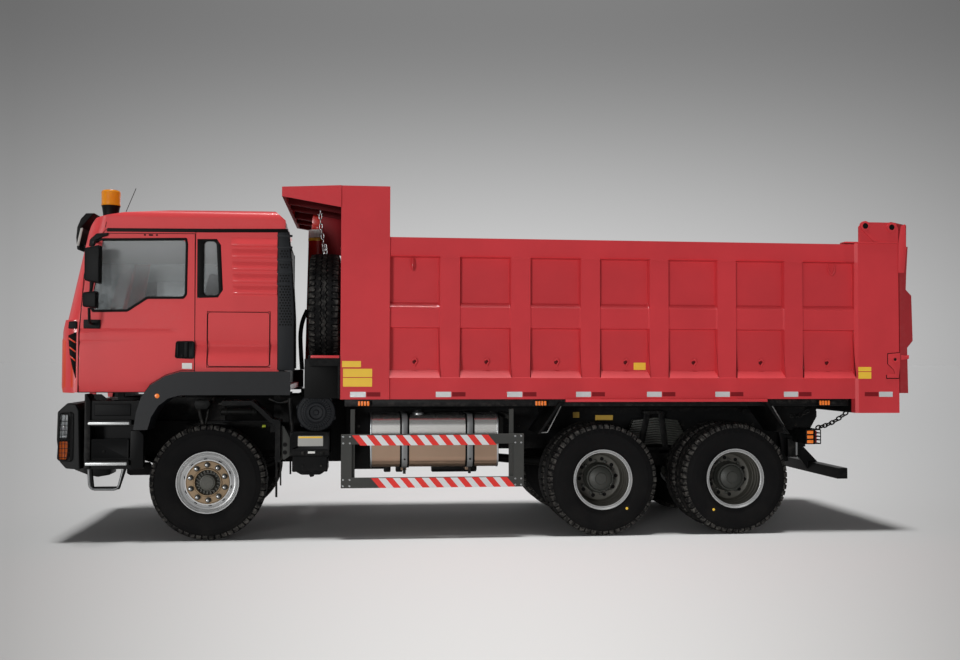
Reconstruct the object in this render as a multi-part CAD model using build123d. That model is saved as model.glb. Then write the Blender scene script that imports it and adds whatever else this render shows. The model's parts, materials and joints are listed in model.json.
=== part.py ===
"""Three-axle tipper truck with a tilting cab, a ribbed tipping bed and a front telescopic hoist.

Millimetres. +X points to the rear, +Y to the truck's right side, +Z up, the ground is Z = 0.
Pieces are drawn with X = 0 at the front axle, and save() moves them all so that the truck's
length is centred on X = 0.
"""

import math
import os

from build123d import *

os.makedirs("parts", exist_ok=True)

# ---------------------------------------------------------------- whole truck
FRONT_REACH = 1388.0        # front axle to the bumper's face
WHEELBASE = 3825.0          # front axle to the first drive axle
BOGIE_PITCH = 1350.0        # between the two drive axles
REAR_OVERHANG = 1873.0      # last axle to the tailgate's rear face
REAR_REACH = WHEELBASE + BOGIE_PITCH + REAR_OVERHANG
BED_WIDTH = 2500.0
CAB_WIDTH = 2400.0
CENTRE_SHIFT = (FRONT_REACH - REAR_REACH) / 2
MOVING_GAP = 6.0            # between pieces that move past each other
SEAT_GAP = 0.3              # between pieces that rest on each other across a joint

# --------------------------------------------------------------------- wheels
TYRE_RADIUS = 552.0
TYRE_WIDTH = 300.0
RIM_RADIUS = 292.0
RIM_WALL = 12.0
TWIN_PITCH = 350.0          # between the centres of twinned tyres
FRONT_TYRE_Y = 1012.0       # centre of a front tyre
REAR_TYRE_Y = 1085.0        # centre of an outer rear tyre
HUB_RADIUS = 118.0
LUG_DEPTH = 16.0
DRIVE_AXLE_X = (WHEELBASE, WHEELBASE + BOGIE_PITCH)
BUMPER_FACE = -FRONT_REACH

# ------------------------------------------------------------------- steering
KINGPIN_Y = 860.0
KINGPIN_RADIUS = 24.0
KINGPIN_FIT = 0.05          # radial clearance on the kingpin

# -------------------------------------------------------------------- chassis
RAIL_OUTER_Y = 430.0
RAIL_HEIGHT = 300.0
RAIL_TOP = 1100.0
RAIL_FLANGE = 80.0
RAIL_WALL = 10.0
RAIL_START = 268.0 - FRONT_REACH
RAIL_END = DRIVE_AXLE_X[1] + 1075.0
SUBFRAME_HEIGHT = 125.0
SUBFRAME_START = 760.0
STUB_RADIUS = 40.0          # stub axles inside the hubs
DRIVE_FLANGE_X = 240.0      # axle centre to the shaft's flange
BUMPER_HALF = 1165.0
LAMP_DEPTH = 70.0
STEP_Y = (840.0, 1190.0)    # inner and outer side of the step boxes
FILTER_CENTRE = (1021.0, 1224.0)
FILTER_RADIUS = 192.0
TANK_X = (1541.0, WHEELBASE - 1030.0)
GUARD_X = (1260.0, WHEELBASE - 792.0)
TANK_Z = (678.0, 1191.0)
TANK_OUTER_Y = 1150.0
RAIL_BOTTOM = RAIL_TOP - RAIL_HEIGHT
SUBFRAME_TOP = RAIL_TOP + SUBFRAME_HEIGHT

# ------------------------------------------------------------------------ cab
CAB_BOTTOM = 1412.0
CAB_BELT = 2093.0           # foot of the windscreen, above which the front leans back
CAB_WALL = 55.0
CAB_BACK = 716.0
ROOF_SEAM = 2962.0          # height where the roof panel meets the walls
DRAWN_RISE = 869.0          # belt to roof seam in the outlines below
DRAWN_REACH = 1388.0        # front reach in the outlines below
STRETCH = (ROOF_SEAM - CAB_BELT) / DRAWN_RISE
REACH_RATIO = FRONT_REACH / DRAWN_REACH
SCREEN_LEAN = 0.203 * REACH_RATIO / STRETCH
CORNER_LEAN = 0.2127 * REACH_RATIO / STRETCH
CAB_FACE = -1372.0 * REACH_RATIO
CAB_BELT_FACE = -1330.0 * REACH_RATIO
CAB_AHEAD = CAB_FACE - 128.0    # clear in front of the cab, for cuts
SCREEN_HALF = 1050.0
SCREEN_Z = (CAB_BELT + 37.0, CAB_BELT + 757.0 * STRETCH)
CAB_CORNER_RADIUS = 170.0
CAB_ROOF_RADIUS = 90.0
GLASS = 8.0
GLASS_INSET = 18.0
CAB_PIVOT = (138.0 - FRONT_REACH, 1342.0)
CAB_PIN_RADIUS = 14.0
LID_HINGE_DROP = 2.8        # lid's top edge to its hinge line
DOOR_EDGE_RADIUS = 5.0      # rounded hinge edge, about the hinge line
CAB_HALF = CAB_WIDTH / 2
CAB_INNER = CAB_HALF - CAB_WALL

# ------------------------------------------------------------------------ bed
BED_FRONT = 1248.0
BED_BOTTOM = 1345.0
BED_FLOOR = 30.0            # floor plate
BED_RAIL_TOP = 2920.0
BED_PANEL = 30.0            # side plate between the ribs
BED_RIB_DEPTH = 88.0        # how far ribs and rails stand out of the side plate
RIB_COUNT = 6
RIB_WIDTH = 192.0
FRONT_COLUMN_END = 1719.0
RIB_FIRST = FRONT_COLUMN_END + 491.0
FRONT_COLUMN_TOP = ROOF_SEAM + 448.0
REAR_COLUMN = (REAR_REACH - 607.0, REAR_REACH - 143.0)
RIB_PITCH = (REAR_COLUMN[0] - 741.0 - RIB_FIRST) / (RIB_COUNT - 1)
REAR_COLUMN_BOTTOM = 1202.0
REAR_COLUMN_TOP = 2945.0
BED_HINGE = (RAIL_END + 80.0, 1165.0)
HINGE_PIN_RADIUS = 30.0
BED_HALF = BED_WIDTH / 2
PANEL_OUTER = BED_HALF - BED_RIB_DEPTH
PANEL_INNER = PANEL_OUTER - BED_PANEL
WELL_HALF = 210.0           # half width of the recess that clears the hoist
WELL_OUTER = WELL_HALF + 20.0
CROSS_RIB = 70.0            # depth of the ribs under the floor
CANOPY_FRONT = 683.0
WELL_BACK = 1640.0
WELL_TOP = FRONT_COLUMN_TOP - 650.0
GATE_HINGE = (REAR_COLUMN[1] - 56.0, REAR_COLUMN_TOP + 172.0)
GATE_PIN = 20.0
GATE_PLATE = 30.0
SPARE_CENTRE = (1085.0, -692.0, 2243.0)

# ---------------------------------------------------------------------- hoist
HOIST_BASE = (950.0, 1150.0)
HOIST_EYE = (990.0, FRONT_COLUMN_TOP - 180.0)
HOIST_RADII = (108.0, 90.0, 73.0, 56.0)
HOIST_FIT = 0.08            # radial clearance of each stage
HOIST_PIN_RADIUS = 28.0


# -------------------------------------------------------------------- helpers
def block(x0, x1, y0, y1, z0, z1):
    """Box between two opposite corners."""
    centre = ((x0 + x1) / 2, (y0 + y1) / 2, (z0 + z1) / 2)
    return Pos(*centre) * Box(abs(x1 - x0), abs(y1 - y0), abs(z1 - z0))


def side_plate(points, y0, y1):
    """Outline in X and Z, as thick as y0 to y1."""
    face = Face(Wire.make_polygon([(x, y0, z) for x, z in points], close=True))
    return extrude(face, amount=y1 - y0, dir=(0, 1, 0))


def level_plate(points, z0, z1):
    """Outline in X and Y, as thick as z0 to z1."""
    face = Face(Wire.make_polygon([(x, y, z0) for x, y in points], close=True))
    return extrude(face, amount=z1 - z0, dir=(0, 0, 1))


def cross_plate(points, x0, x1):
    """Outline in Y and Z, as thick as x0 to x1."""
    face = Face(Wire.make_polygon([(x0, y, z) for y, z in points], close=True))
    return extrude(face, amount=x1 - x0, dir=(1, 0, 0))


def rod(start, end, radius):
    """Round bar between two points."""
    line = Vector(*end) - Vector(*start)
    return Plane(origin=start, z_dir=line) * Cylinder(
        radius, line.length, align=(Align.CENTER, Align.CENTER, Align.MIN))


def ring(centre, axis, outer, inner, length):
    """Tube with its middle at centre."""
    half = Vector(*axis).normalized() * (length / 2)
    start = Vector(*centre) - half
    end = Vector(*centre) + half
    return rod(tuple(start), tuple(end), outer) - rod(tuple(start - half), tuple(end + half), inner)


def both_sides(shape):
    """The shape and its mirror image on the other side of the truck."""
    return shape + mirror(shape, about=Plane.XZ)


def grown(points, amount):
    """Outline moved outwards by an amount, with sharp corners."""
    flat = make_face(Polyline(*points, close=True))
    return offset(flat, amount=amount, kind=Kind.INTERSECTION)


def side_solid(flat, y0, y1):
    """Flat face drawn in X and Z as X and Y, stood up and made y0 to y1 thick."""
    lowest = min(y0, y1)
    stood = Plane(origin=(0, lowest, 0), x_dir=(1, 0, 0), z_dir=(0, -1, 0)) * flat
    return extrude(stood, amount=abs(y1 - y0), dir=(0, 1, 0))


def sides(flat, inner, outer):
    """The same side outline on both sides of the truck."""
    return both_sides(side_solid(flat, -outer, -inner))


def fitted(points):
    """Outline with its front end stretched to the front reach, and its upper part to the roof seam."""
    return [(x * REACH_RATIO if x < 0 else x, CAB_BELT + (z - CAB_BELT) * STRETCH if z > CAB_BELT else z)
            for x, z in points]


# --------------------------------------------------- cab outlines, in X and Z
ROOF_TOP = CAB_BELT + 1068.0 * STRETCH
CAB_OUTLINE = fitted([
    (-1330, CAB_BOTTOM), (-1362, 1716), (-1370, 1951), (-1322, CAB_BELT), (-1271, 2377), (-1220, 2662),
    (-1168, 2852), (-1115, 2986), (-1052, 3063), (-951, 3090), (-795, 3120), (-378, 3147), (611, 3161),
    (CAB_BACK, 3066), (CAB_BACK, CAB_BOTTOM)])
ARCH_OUTER = [(-675, 1061), (-650, 1230), (-606, 1370), (-525, 1483), (-389, 1568), (-251, 1610),
              (773, 1612)]
ARCH_INNER = [(-547, 1061), (-512, 1183), (-450, 1286), (-359, 1356), (-249, 1387), (775, 1387)]
ARCH_LINER = [(775, CAB_BOTTOM), (-240, CAB_BOTTOM), (-375, 1381), (-470, 1306), (-537, 1193), (-573, 1061)]
DOOR_OUTLINE = fitted([
    (-1190, CAB_BOTTOM), (-1190, 1970), (-1154, 2376), (-1105, 2755), (-952, 2950), (-130, 2950),
    (-130, CAB_BOTTOM)])
DOOR_WINDOW = fitted([
    (-1092, 2206), (-1074, 2168), (-772, 2180), (-590, 2295), (-249, 2308), (-203, 2347), (-208, 2823),
    (-246, 2871), (-983, 2868)])
SIDE_WINDOW = fitted([(-109, 2309), (86, 2316), (132, 2388), (109, 2819), (71, 2876), (-112, 2873)])
LOCKER_OUTLINE = [(-10, 1655), (576, 1655), (576, 2180), (-10, 2180)]
CORNER_PANEL = fitted([(648, 1626), (642, 2951), (752, 2958), (784, 2596), (806, 2208), (811, 1626)])
CORNER_INNER = 1120.0
FRONT_SEAM = fitted([
    (-1400, CAB_BOTTOM), (-1400, 2962), (-1045, 2962), (-1111, 2755), (-1160, 2376), (-1196, 1970),
    (-1196, CAB_BOTTOM)])
VISOR_OUTLINE = fitted([
    (-1241, 2762), (-1288, 2800), (-1263, 2983), (-1163, 3130), (-1125, 3111), (-1228, 2970), (-1250, 2808),
    (-1222, 2778)])
CAB_FLOOR_TOP = CAB_BOTTOM + CAB_WALL


def save(name, shape):
    """Write one sub-part in the truck's own frame."""
    export_step(Pos(CENTRE_SHIFT, 0, 0) * shape, f"parts/{name}.step")


# -------------------------------------------------------------------- chassis
def chassis_frame():
    """Two channel rails with tubes between them, and the bed's seat beams on top."""
    inner = RAIL_OUTER_Y - RAIL_FLANGE
    rail = block(RAIL_START, RAIL_END, -RAIL_OUTER_Y, -inner, RAIL_BOTTOM, RAIL_TOP)
    rail -= block(RAIL_START - 1, RAIL_END + 1, -RAIL_OUTER_Y + RAIL_WALL, -inner + 1,
                  RAIL_BOTTOM + RAIL_WALL, RAIL_TOP - RAIL_WALL)
    seat = block(SUBFRAME_START, RAIL_END, -RAIL_OUTER_Y, -inner, RAIL_TOP, SUBFRAME_TOP)
    frame = both_sides(rail + seat)
    web = RAIL_OUTER_Y - RAIL_WALL
    middle = (RAIL_TOP + RAIL_BOTTOM) / 2
    for x in (RAIL_START + 50, 1450, 2300, WHEELBASE - 775, WHEELBASE + BOGIE_PITCH / 2, RAIL_END - 60):
        frame += rod((x, -web, middle), (x, web, middle), 48)
    frame += both_sides(block(560, 640, -RAIL_OUTER_Y, -inner - 10, RAIL_TOP, CAB_BOTTOM - SEAT_GAP))
    frame += both_sides(cab_pivot_bracket())
    base_x, base_z = HOIST_BASE
    low = base_z - HOIST_RADII[0] - 40
    frame += block(base_x - 110, base_x + 110, -web, web, low - 60, low)
    ear = side_plate([(base_x - 90, low), (base_x + 90, low), (base_x + 45, base_z + 45),
                      (base_x - 45, base_z + 45)], -160, -160 + 30)
    ears = both_sides(ear)
    ears -= rod((base_x, -200, base_z), (base_x, 200, base_z), HOIST_PIN_RADIUS + KINGPIN_FIT)
    frame += ears
    hinge_x, hinge_z = BED_HINGE
    lug = side_plate([(RAIL_END - 260, RAIL_TOP), (RAIL_END, RAIL_TOP - 200), (hinge_x + 50, hinge_z - 40),
                      (hinge_x + 50, hinge_z + 20), (hinge_x + 20, hinge_z + 50),
                      (hinge_x - 40, hinge_z + 50)], -RAIL_OUTER_Y, -RAIL_OUTER_Y + 40)
    frame += both_sides(lug)
    frame -= rod((hinge_x, -RAIL_OUTER_Y - 10, hinge_z), (hinge_x, RAIL_OUTER_Y + 10, hinge_z),
                 HINGE_PIN_RADIUS + KINGPIN_FIT)
    return frame


def cab_pivot_bracket():
    """Left bracket that reaches over the bumper to the cab's pivot."""
    x, z = CAB_PIVOT
    back = RAIL_START + 20
    plate = side_plate([(back - 60, RAIL_TOP), (back, RAIL_TOP), (back, z - 22), (back - 60, z + 30),
                        (x - 12, z + 30), (x - 30, z + 10), (x - 30, z - 12), (x - 12, z - 26),
                        (back - 64, z - 26)], -RAIL_OUTER_Y, -RAIL_OUTER_Y + 30)
    return plate - rod((x, -RAIL_OUTER_Y - 1, z), (x, -RAIL_OUTER_Y + 31, z), CAB_PIN_RADIUS + KINGPIN_FIT)


def cab_pivot_lug():
    """Left lug under the cab's floor, with its pin."""
    x, z = CAB_PIVOT
    y0 = -RAIL_OUTER_Y + 36
    outline = [(x - 35, CAB_BOTTOM), (x + 35, CAB_BOTTOM), (x + 22, z - 22), (x - 22, z - 22)]
    lug = side_plate(outline, y0, y0 + 26)
    return lug + rod((x, -RAIL_OUTER_Y, z), (x, y0 + 1, z), CAB_PIN_RADIUS)


def front_bumper():
    """Moulded bumper with recesses for the lamps and the air intake."""
    front = BUMPER_FACE
    outline = [(front + 5, 1227), (front, 964), (front + 31, 758), (front + 86, 697), (front + 213, 686),
               (front + 196, 1245), (front + 168, 1302), (front + 95, 1311), (front + 42, 1264)]
    body = side_plate(outline, -BUMPER_HALF, BUMPER_HALF)
    corner = BUMPER_HALF - 260
    body -= both_sides(block(front - 1, front + LAMP_DEPTH, -BUMPER_HALF + 40, -corner, 830, 1215))
    body -= block(front - 1, front + 45, -560, 560, 780, 1120)
    arms = block(front + 205, RAIL_START, -RAIL_OUTER_Y, -RAIL_OUTER_Y + RAIL_FLANGE, 860, 1060)
    return body + both_sides(arms)


def headlamps():
    """Round-cornered lamp clusters in the bumper's recesses."""
    front = BUMPER_FACE
    lamp = block(front + 10, front + LAMP_DEPTH, -BUMPER_HALF + 40, -BUMPER_HALF + 260, 830, 1215)
    return both_sides(lamp)


def front_axle():
    """Dropped beam with kingpin bosses, on two leaf springs."""
    top = TYRE_RADIUS - 20
    beam = block(-50, 50, -620, 620, top - 130, top)
    end = cross_plate([(-620, top - 130), (-620, top), (-KINGPIN_Y, top + 75),
                       (-KINGPIN_Y, top - 60)], -38, 38)
    end += rod((0, -KINGPIN_Y, top - 90), (0, -KINGPIN_Y, top + 80), 42)
    axle = beam + both_sides(end)
    axle -= both_sides(rod((0, -KINGPIN_Y, top - 200), (0, -KINGPIN_Y, top + 200),
                           KINGPIN_RADIUS + KINGPIN_FIT))
    spring_y = RAIL_OUTER_Y - RAIL_FLANGE / 2
    low = RAIL_BOTTOM - 60
    leaves = [(-820, low), (-820, low + 30), (-300, top + 50), (300, top + 50), (820, low + 30), (820, low),
              (250, top), (-250, top)]
    spring = side_plate(leaves, -spring_y - 45, -spring_y + 45)
    for x in (-820, 780):
        spring += block(x, x + 40, -spring_y - 40, -spring_y + 40, RAIL_BOTTOM - 62, RAIL_BOTTOM)
    return axle + both_sides(spring)


def knuckle(side):
    """Stub axle that turns on the kingpin."""
    z = TYRE_RADIUS
    pin_y = side * KINGPIN_Y
    out = side * (FRONT_TYRE_Y - 30)
    top = z - 20
    pin = rod((0, pin_y, top - 170), (0, pin_y, top + 150), KINGPIN_RADIUS)
    yoke = pin
    yoke += block(-45, 45, pin_y - side * 30, pin_y + side * 75, top + 90, top + 150)
    yoke += block(-45, 45, pin_y - side * 30, pin_y + side * 75, top - 170, top - 110)
    yoke += block(-45, 45, pin_y + side * 52, pin_y + side * 75, top - 170, top + 150)
    yoke += rod((0, pin_y + side * 70, z), (0, out + side * 90, z), STUB_RADIUS)
    yoke += block(40, 260, pin_y - side * 35, pin_y - side * 5, top - 170, top - 130)
    return yoke


def drive_axles():
    """Two driven axles with round casings, on rocking leaf springs."""
    z = TYRE_RADIUS
    inner_tyre = REAR_TYRE_Y - TWIN_PITCH - TYRE_WIDTH / 2
    bogie = None
    for x in DRIVE_AXLE_X:
        casing = rod((x, -inner_tyre + 30, z), (x, inner_tyre - 30, z), 75)
        casing += Pos(x, 0, z) * Sphere(210)
        casing += rod((x - DRIVE_FLANGE_X, 0, z + 60), (x + DRIVE_FLANGE_X, 0, z + 60), 55)
        casing += both_sides(rod((x, -REAR_TYRE_Y - 20, z), (x, -inner_tyre + 31, z), STUB_RADIUS))
        bogie = casing if bogie is None else bogie + casing
    middle = sum(DRIVE_AXLE_X) / 2
    spring_y = RAIL_OUTER_Y - RAIL_FLANGE / 2
    half = BOGIE_PITCH / 2
    spring = side_plate([(middle - half, z + 70), (middle - half, z + 110), (middle - 240, z + 190),
                         (middle + 240, z + 190), (middle + half, z + 110), (middle + half, z + 70),
                         (middle + 240, z + 60), (middle - 240, z + 60)], -spring_y - 45, -spring_y + 45)
    spring += block(middle - 130, middle + 130, -spring_y - 40, -spring_y + 40, z + 100, RAIL_BOTTOM)
    for x in DRIVE_AXLE_X:
        spring += block(x - 70, x + 70, -spring_y - 55, -spring_y + 55, z + 40, z + 90)
    bogie += both_sides(spring)
    return bogie


def powertrain():
    """Engine block, gearbox, shaft to the drive axles and the radiator in front."""
    inner = RAIL_OUTER_Y - RAIL_FLANGE - 20
    engine = block(RAIL_START + 170, 60, -inner, inner, 700, 1340)
    gearbox = block(60, 700, -200, 200, 720, 1060)
    height = TYRE_RADIUS + 60
    shaft = rod((700, 0, 880), (WHEELBASE - DRIVE_FLANGE_X - 60, 0, height), 46)
    shaft += rod((WHEELBASE - DRIVE_FLANGE_X - 110, 0, height), (WHEELBASE - DRIVE_FLANGE_X, 0, height), 62)
    through = rod((WHEELBASE + DRIVE_FLANGE_X, 0, height),
                  (WHEELBASE + BOGIE_PITCH - DRIVE_FLANGE_X, 0, height), 45)
    radiator = block(RAIL_START + 100, RAIL_START + 170, -inner, inner, 720, 1390)
    return engine + gearbox + shaft + radiator + through


def fuel_tank():
    """Round-edged tank with two straps, a filler neck and its brackets."""
    x0, x1 = TANK_X
    y0, y1 = -TANK_OUTER_Y, -RAIL_OUTER_Y - 50
    tank = block(x0, x1, y0, y1, *TANK_Z)
    tank = fillet(tank.edges().filter_by(Axis.X), 110)
    for x in (x0 + 305, x1 - 309):
        strap = block(x, x + 54, y0 - 5, y1 + 5, TANK_Z[0] - 5, TANK_Z[1] + 5)
        strap = fillet(strap.edges().filter_by(Axis.X), 113)
        tank += strap
        tank += block(x, x + 54, y1 - 120, -RAIL_OUTER_Y, TANK_Z[0] + 130, TANK_Z[1] - 110)
        tank += block(x, x + 54, y0 + 200, -RAIL_OUTER_Y, TANK_Z[0] - 45, TANK_Z[0] + 20)
    neck = x0 + 469
    tank += rod((neck, y0 + 140, TANK_Z[1] - 20), (neck, y0 + 140, TANK_Z[1] + 48), 48)
    return tank


def exhaust_box():
    """Silencer on the right side, hung from the rail."""
    x0, x1 = TANK_X[0], TANK_X[1] - 445
    body = block(x0, x1, RAIL_OUTER_Y + 60, 1080, 700, 1150)
    body = fillet(body.edges().filter_by(Axis.X), 90)
    for x in (x0 + 159, x1 - 210):
        body += block(x, x + 60, RAIL_OUTER_Y, RAIL_OUTER_Y + 120, 850, 1050)
    body += rod((x1 - 10, 800, 830), (x1 + 170, 800, 830), 65)
    return body


def air_filter():
    """Round intake filter behind the cab, on a bracket from the rail."""
    x, z = FILTER_CENTRE
    body = rod((x, -1050, z), (x, -640, z), FILTER_RADIUS)
    body += block(x - 60, x + 60, -660, -RAIL_OUTER_Y, 1000, 1080)
    return body


def battery_box():
    """Box under the filter, with a lid and a lower tray."""
    y1 = -RAIL_OUTER_Y
    box = block(768, 1153, -1130, -680, 795, 1030)
    box += block(790, 1130, -1110, -680, 641, 795)
    box += block(800, 1120, -690, y1, 820, 900)
    return box


def side_guards():
    """Channel frames beside the tank, on two posts each."""
    x0, x1 = GUARD_X
    outer = BED_HALF
    inner = BED_HALF - 40
    frame = block(x0, x1, -outer, -inner, 495, 1010)
    frame -= block(x0 + 105, x1 - 104, -outer - 1, -inner + 1, 594, 914)
    for x in (x0 + 88, x1 - 141):
        post = block(x, x + 44, -inner, -inner + 44, 540, 1250)
        post += block(x, x + 44, -inner + 40, -RAIL_OUTER_Y, 1146, 1190)
        post += block(x, x + 44, -RAIL_OUTER_Y - 30, -RAIL_OUTER_Y, 900, 1190)
        frame += post
    return both_sides(frame)


def cab_steps():
    """Step boxes under the doors, with two treads and a bar loop each."""
    inner, outer = STEP_Y
    front = BUMPER_FACE + 238
    box = block(front, -640, -outer + 90, -inner, 682, 1330)
    box -= block(front + 40, -710, -outer + 80, -inner - 90, 790, 1090)
    for x0, x1, z0, z1 in ((front + 54, -705, 1107, 1150), (front + 32, -727, 724, 770)):
        box += block(x0, x1, -outer, -outer + 91, z0, z1)
    path = [(front + 57, 700), (front + 78, 503), (-835, 503), (-773, 700)]
    for (ax, az), (bx, bz) in zip(path, path[1:]):
        box += rod((ax, -outer + 110, az), (bx, -outer + 110, bz), 14)
    for ax, az in path[1:3]:
        box += Pos(ax, -outer + 110, az) * Sphere(14)
    box += block(-1000, -900, -inner, -RAIL_OUTER_Y, 870, 960)
    return both_sides(box)


def mudguards():
    """Splash plates behind the front wheels and around the drive wheels."""
    guard = side_plate([(127, 1330), (409, 1330), (504, 1254), (600, 1157), (679, 1138), (679, 740),
                        (630, 740), (630, 1095), (580, 1120), (480, 1218), (400, 1290), (127, 1290)],
                       -1150, -860)
    guard += block(560, 640, -861, -RAIL_OUTER_Y, 1010, 1090)
    x0, x1 = DRIVE_AXLE_X[0] - 406, DRIVE_AXLE_X[1] + 312
    rear = side_plate([(x0, 1318), (x0 - 27, 1318), (x0 - 245, 1006), (x0 - 218, 1006)], -1235, -600)
    rear += side_plate([(x1, 1316), (x1 + 27, 1316), (x1 + 254, 994), (x1 + 227, 994)], -1235, -600)
    rear += block(x0 - 109, x0, -605, -RAIL_OUTER_Y, 1180, 1222)
    rear += block(x1, x1 + 109, -605, -RAIL_OUTER_Y, 1180, 1222)
    return both_sides(guard + rear)


def tail_lamps():
    """Lamp boxes on arms behind the last wheels."""
    x = RAIL_END - 260
    lamp = block(x, x + 62, -1150, -800, 880, 1034)
    lamp += block(x + 10, x + 50, -801, -RAIL_OUTER_Y, 930, 990)
    return both_sides(lamp)


def underrun_bar():
    """Bar across the rear, on two hangers."""
    x0, x1 = RAIL_END + 27, RAIL_END + 136
    bar = block(x0, x1, -1150, 1150, 530, 639)
    hanger = side_plate([(x0 - 177, RAIL_BOTTOM), (x0 - 47, RAIL_BOTTOM), (x1, 639), (x0, 560)],
                        -RAIL_OUTER_Y, -RAIL_OUTER_Y + 60)
    return bar + both_sides(hanger)


# --------------------------------------------------------------------- wheels
def tyre(y):
    """Tyre with blocks along both shoulders, its axle along Y at the given place."""
    half = TYRE_WIDTH / 2
    r = TYRE_RADIUS
    section = [(RIM_RADIUS, half - 45), (RIM_RADIUS + 90, half), (r - 60, half - 8),
               (r - LUG_DEPTH, half - 34)]
    points = section + [(a, -b) for a, b in reversed(section)]
    face = Face(Wire.make_polygon([(a, b, 0) for a, b in points], close=True))
    body = revolve(face, axis=Axis.Y) - Rot(90, 0, 0) * Cylinder(RIM_RADIUS + SEAT_GAP, 3 * half)
    tread = Cylinder(r, 2 * (half - 34)) - Cylinder(RIM_RADIUS + 40, 3 * half)
    body += Rot(90, 0, 0) * tread
    return Pos(0, y, TYRE_RADIUS) * body


def rim(y, dish, side):
    """Rim barrel with its disc set off by dish towards the outer side."""
    half = TYRE_WIDTH / 2 - 20
    well = RIM_RADIUS - RIM_WALL
    barrel = Cylinder(RIM_RADIUS, 2 * half) - Cylinder(well, 3 * half)
    disc = Cylinder(well + 1, RIM_WALL) - Cylinder(STUB_RADIUS + KINGPIN_FIT, 2 * half)
    turned = Rot(-90, 0, 0) * (barrel + Pos(0, 0, side * dish) * disc)
    return Pos(0, y, TYRE_RADIUS) * turned


def hub(y0, y1):
    """Hub drum with a running fit on the stub axle, along Y."""
    centre = (0, (y0 + y1) / 2, TYRE_RADIUS)
    return ring(centre, (0, 1, 0), HUB_RADIUS, STUB_RADIUS + KINGPIN_FIT, abs(y1 - y0))


def cap(y0, y1):
    """Closed end of a hub."""
    return rod((0, y0, TYRE_RADIUS), (0, y1, TYRE_RADIUS), HUB_RADIUS - 25)


def front_wheel(side):
    """Tyre and rim of one front wheel."""
    y = side * FRONT_TYRE_Y
    metal = rim(y, 60, side)
    metal += hub(y, y + side * 100)
    metal += cap(y + side * 100, y + side * 130)
    return tyre(y), metal


def rear_wheel(side):
    """Twinned tyres and rims of one rear wheel."""
    outer = side * REAR_TYRE_Y
    inner = side * (REAR_TYRE_Y - TWIN_PITCH)
    metal = rim(outer, -TWIN_PITCH / 2 + 60, side) + rim(inner, TWIN_PITCH / 2 - 60, side)
    metal += hub(inner + side * (TWIN_PITCH / 2 - 70), outer + side * 40)
    metal += cap(outer + side * 40, outer + side * 75)
    return tyre(outer) + tyre(inner), metal


# ------------------------------------------------------------------------ cab
def flat(points):
    """Outline as a flat face."""
    return make_face(Polyline(*points, close=True))


def cab_body(inset):
    """Outer or inner form of the cab: a side outline with rounded front corners and roof edges."""
    half = CAB_HALF - inset
    back = CAB_BACK - inset + 400
    outline = flat(CAB_OUTLINE)
    if inset:
        outline = offset(outline, amount=-inset, kind=Kind.INTERSECTION)
    body = side_solid(outline, -half, half)
    radius = CAB_CORNER_RADIUS - inset
    low = block(CAB_FACE + inset, back, -half, half, CAB_BOTTOM - 10, CAB_BELT + inset)
    low = fillet(low.edges().filter_by(Axis.Z).sort_by(Axis.X)[:2], radius)
    start = CAB_BELT_FACE + inset
    plan = Pos((start + back) / 2, 0, CAB_BELT - 13) * Rectangle(back - start, 2 * half)
    plan = fillet(plan.vertices().sort_by(Axis.X)[:2], radius)
    rise = ROOF_TOP - CAB_BELT + 60
    high = extrude(plan, amount=math.hypot(rise, rise * CORNER_LEAN), dir=(CORNER_LEAN, 0, 1))
    edge = CAB_ROOF_RADIUS - inset
    tall = block(CAB_AHEAD, back, -half, half, CAB_BOTTOM - 10, ROOF_TOP - inset)
    tall = fillet(tall.edges().filter_by(Axis.X).sort_by(Axis.Z)[2:], edge)
    return body & (low + high) & tall


def slab_of(solid, x0, x1, z0, z1):
    """The part of a cab solid between two X and two Z planes."""
    return solid & block(x0, x1, -2000, 2000, z0, z1)


def door_face():
    """Door outline, cut clear of the wheel arch."""
    arch = offset(flat(ARCH_OUTER + [(773, 1061)]), amount=MOVING_GAP + 6, kind=Kind.INTERSECTION)
    return flat(DOOR_OUTLINE) - arch


def door_opening_face():
    """Hole in the cab's side that the door closes."""
    arch = offset(flat(ARCH_OUTER + [(773, 1061)]), amount=MOVING_GAP, kind=Kind.INTERSECTION)
    lower = [(x, z if z > CAB_BOTTOM else CAB_BOTTOM - 20) for x, z in DOOR_OUTLINE]
    return offset(flat(lower), amount=MOVING_GAP, kind=Kind.INTERSECTION) - arch


def cab_shell():
    """The cab's walls with their openings cut."""
    shell = cab_body(0) - cab_body(CAB_WALL)
    shell -= sides(door_opening_face(), CAB_INNER, CAB_HALF + 50)
    shell -= sides(flat(SIDE_WINDOW), CAB_INNER - 50, CAB_HALF + 50)
    shell -= sides(grown(LOCKER_OUTLINE, MOVING_GAP), CAB_INNER - 50, CAB_HALF + 50)
    shell -= block(CAB_AHEAD, CAB_FACE + 292, -SCREEN_HALF, SCREEN_HALF, *SCREEN_Z)
    return shell


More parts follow.
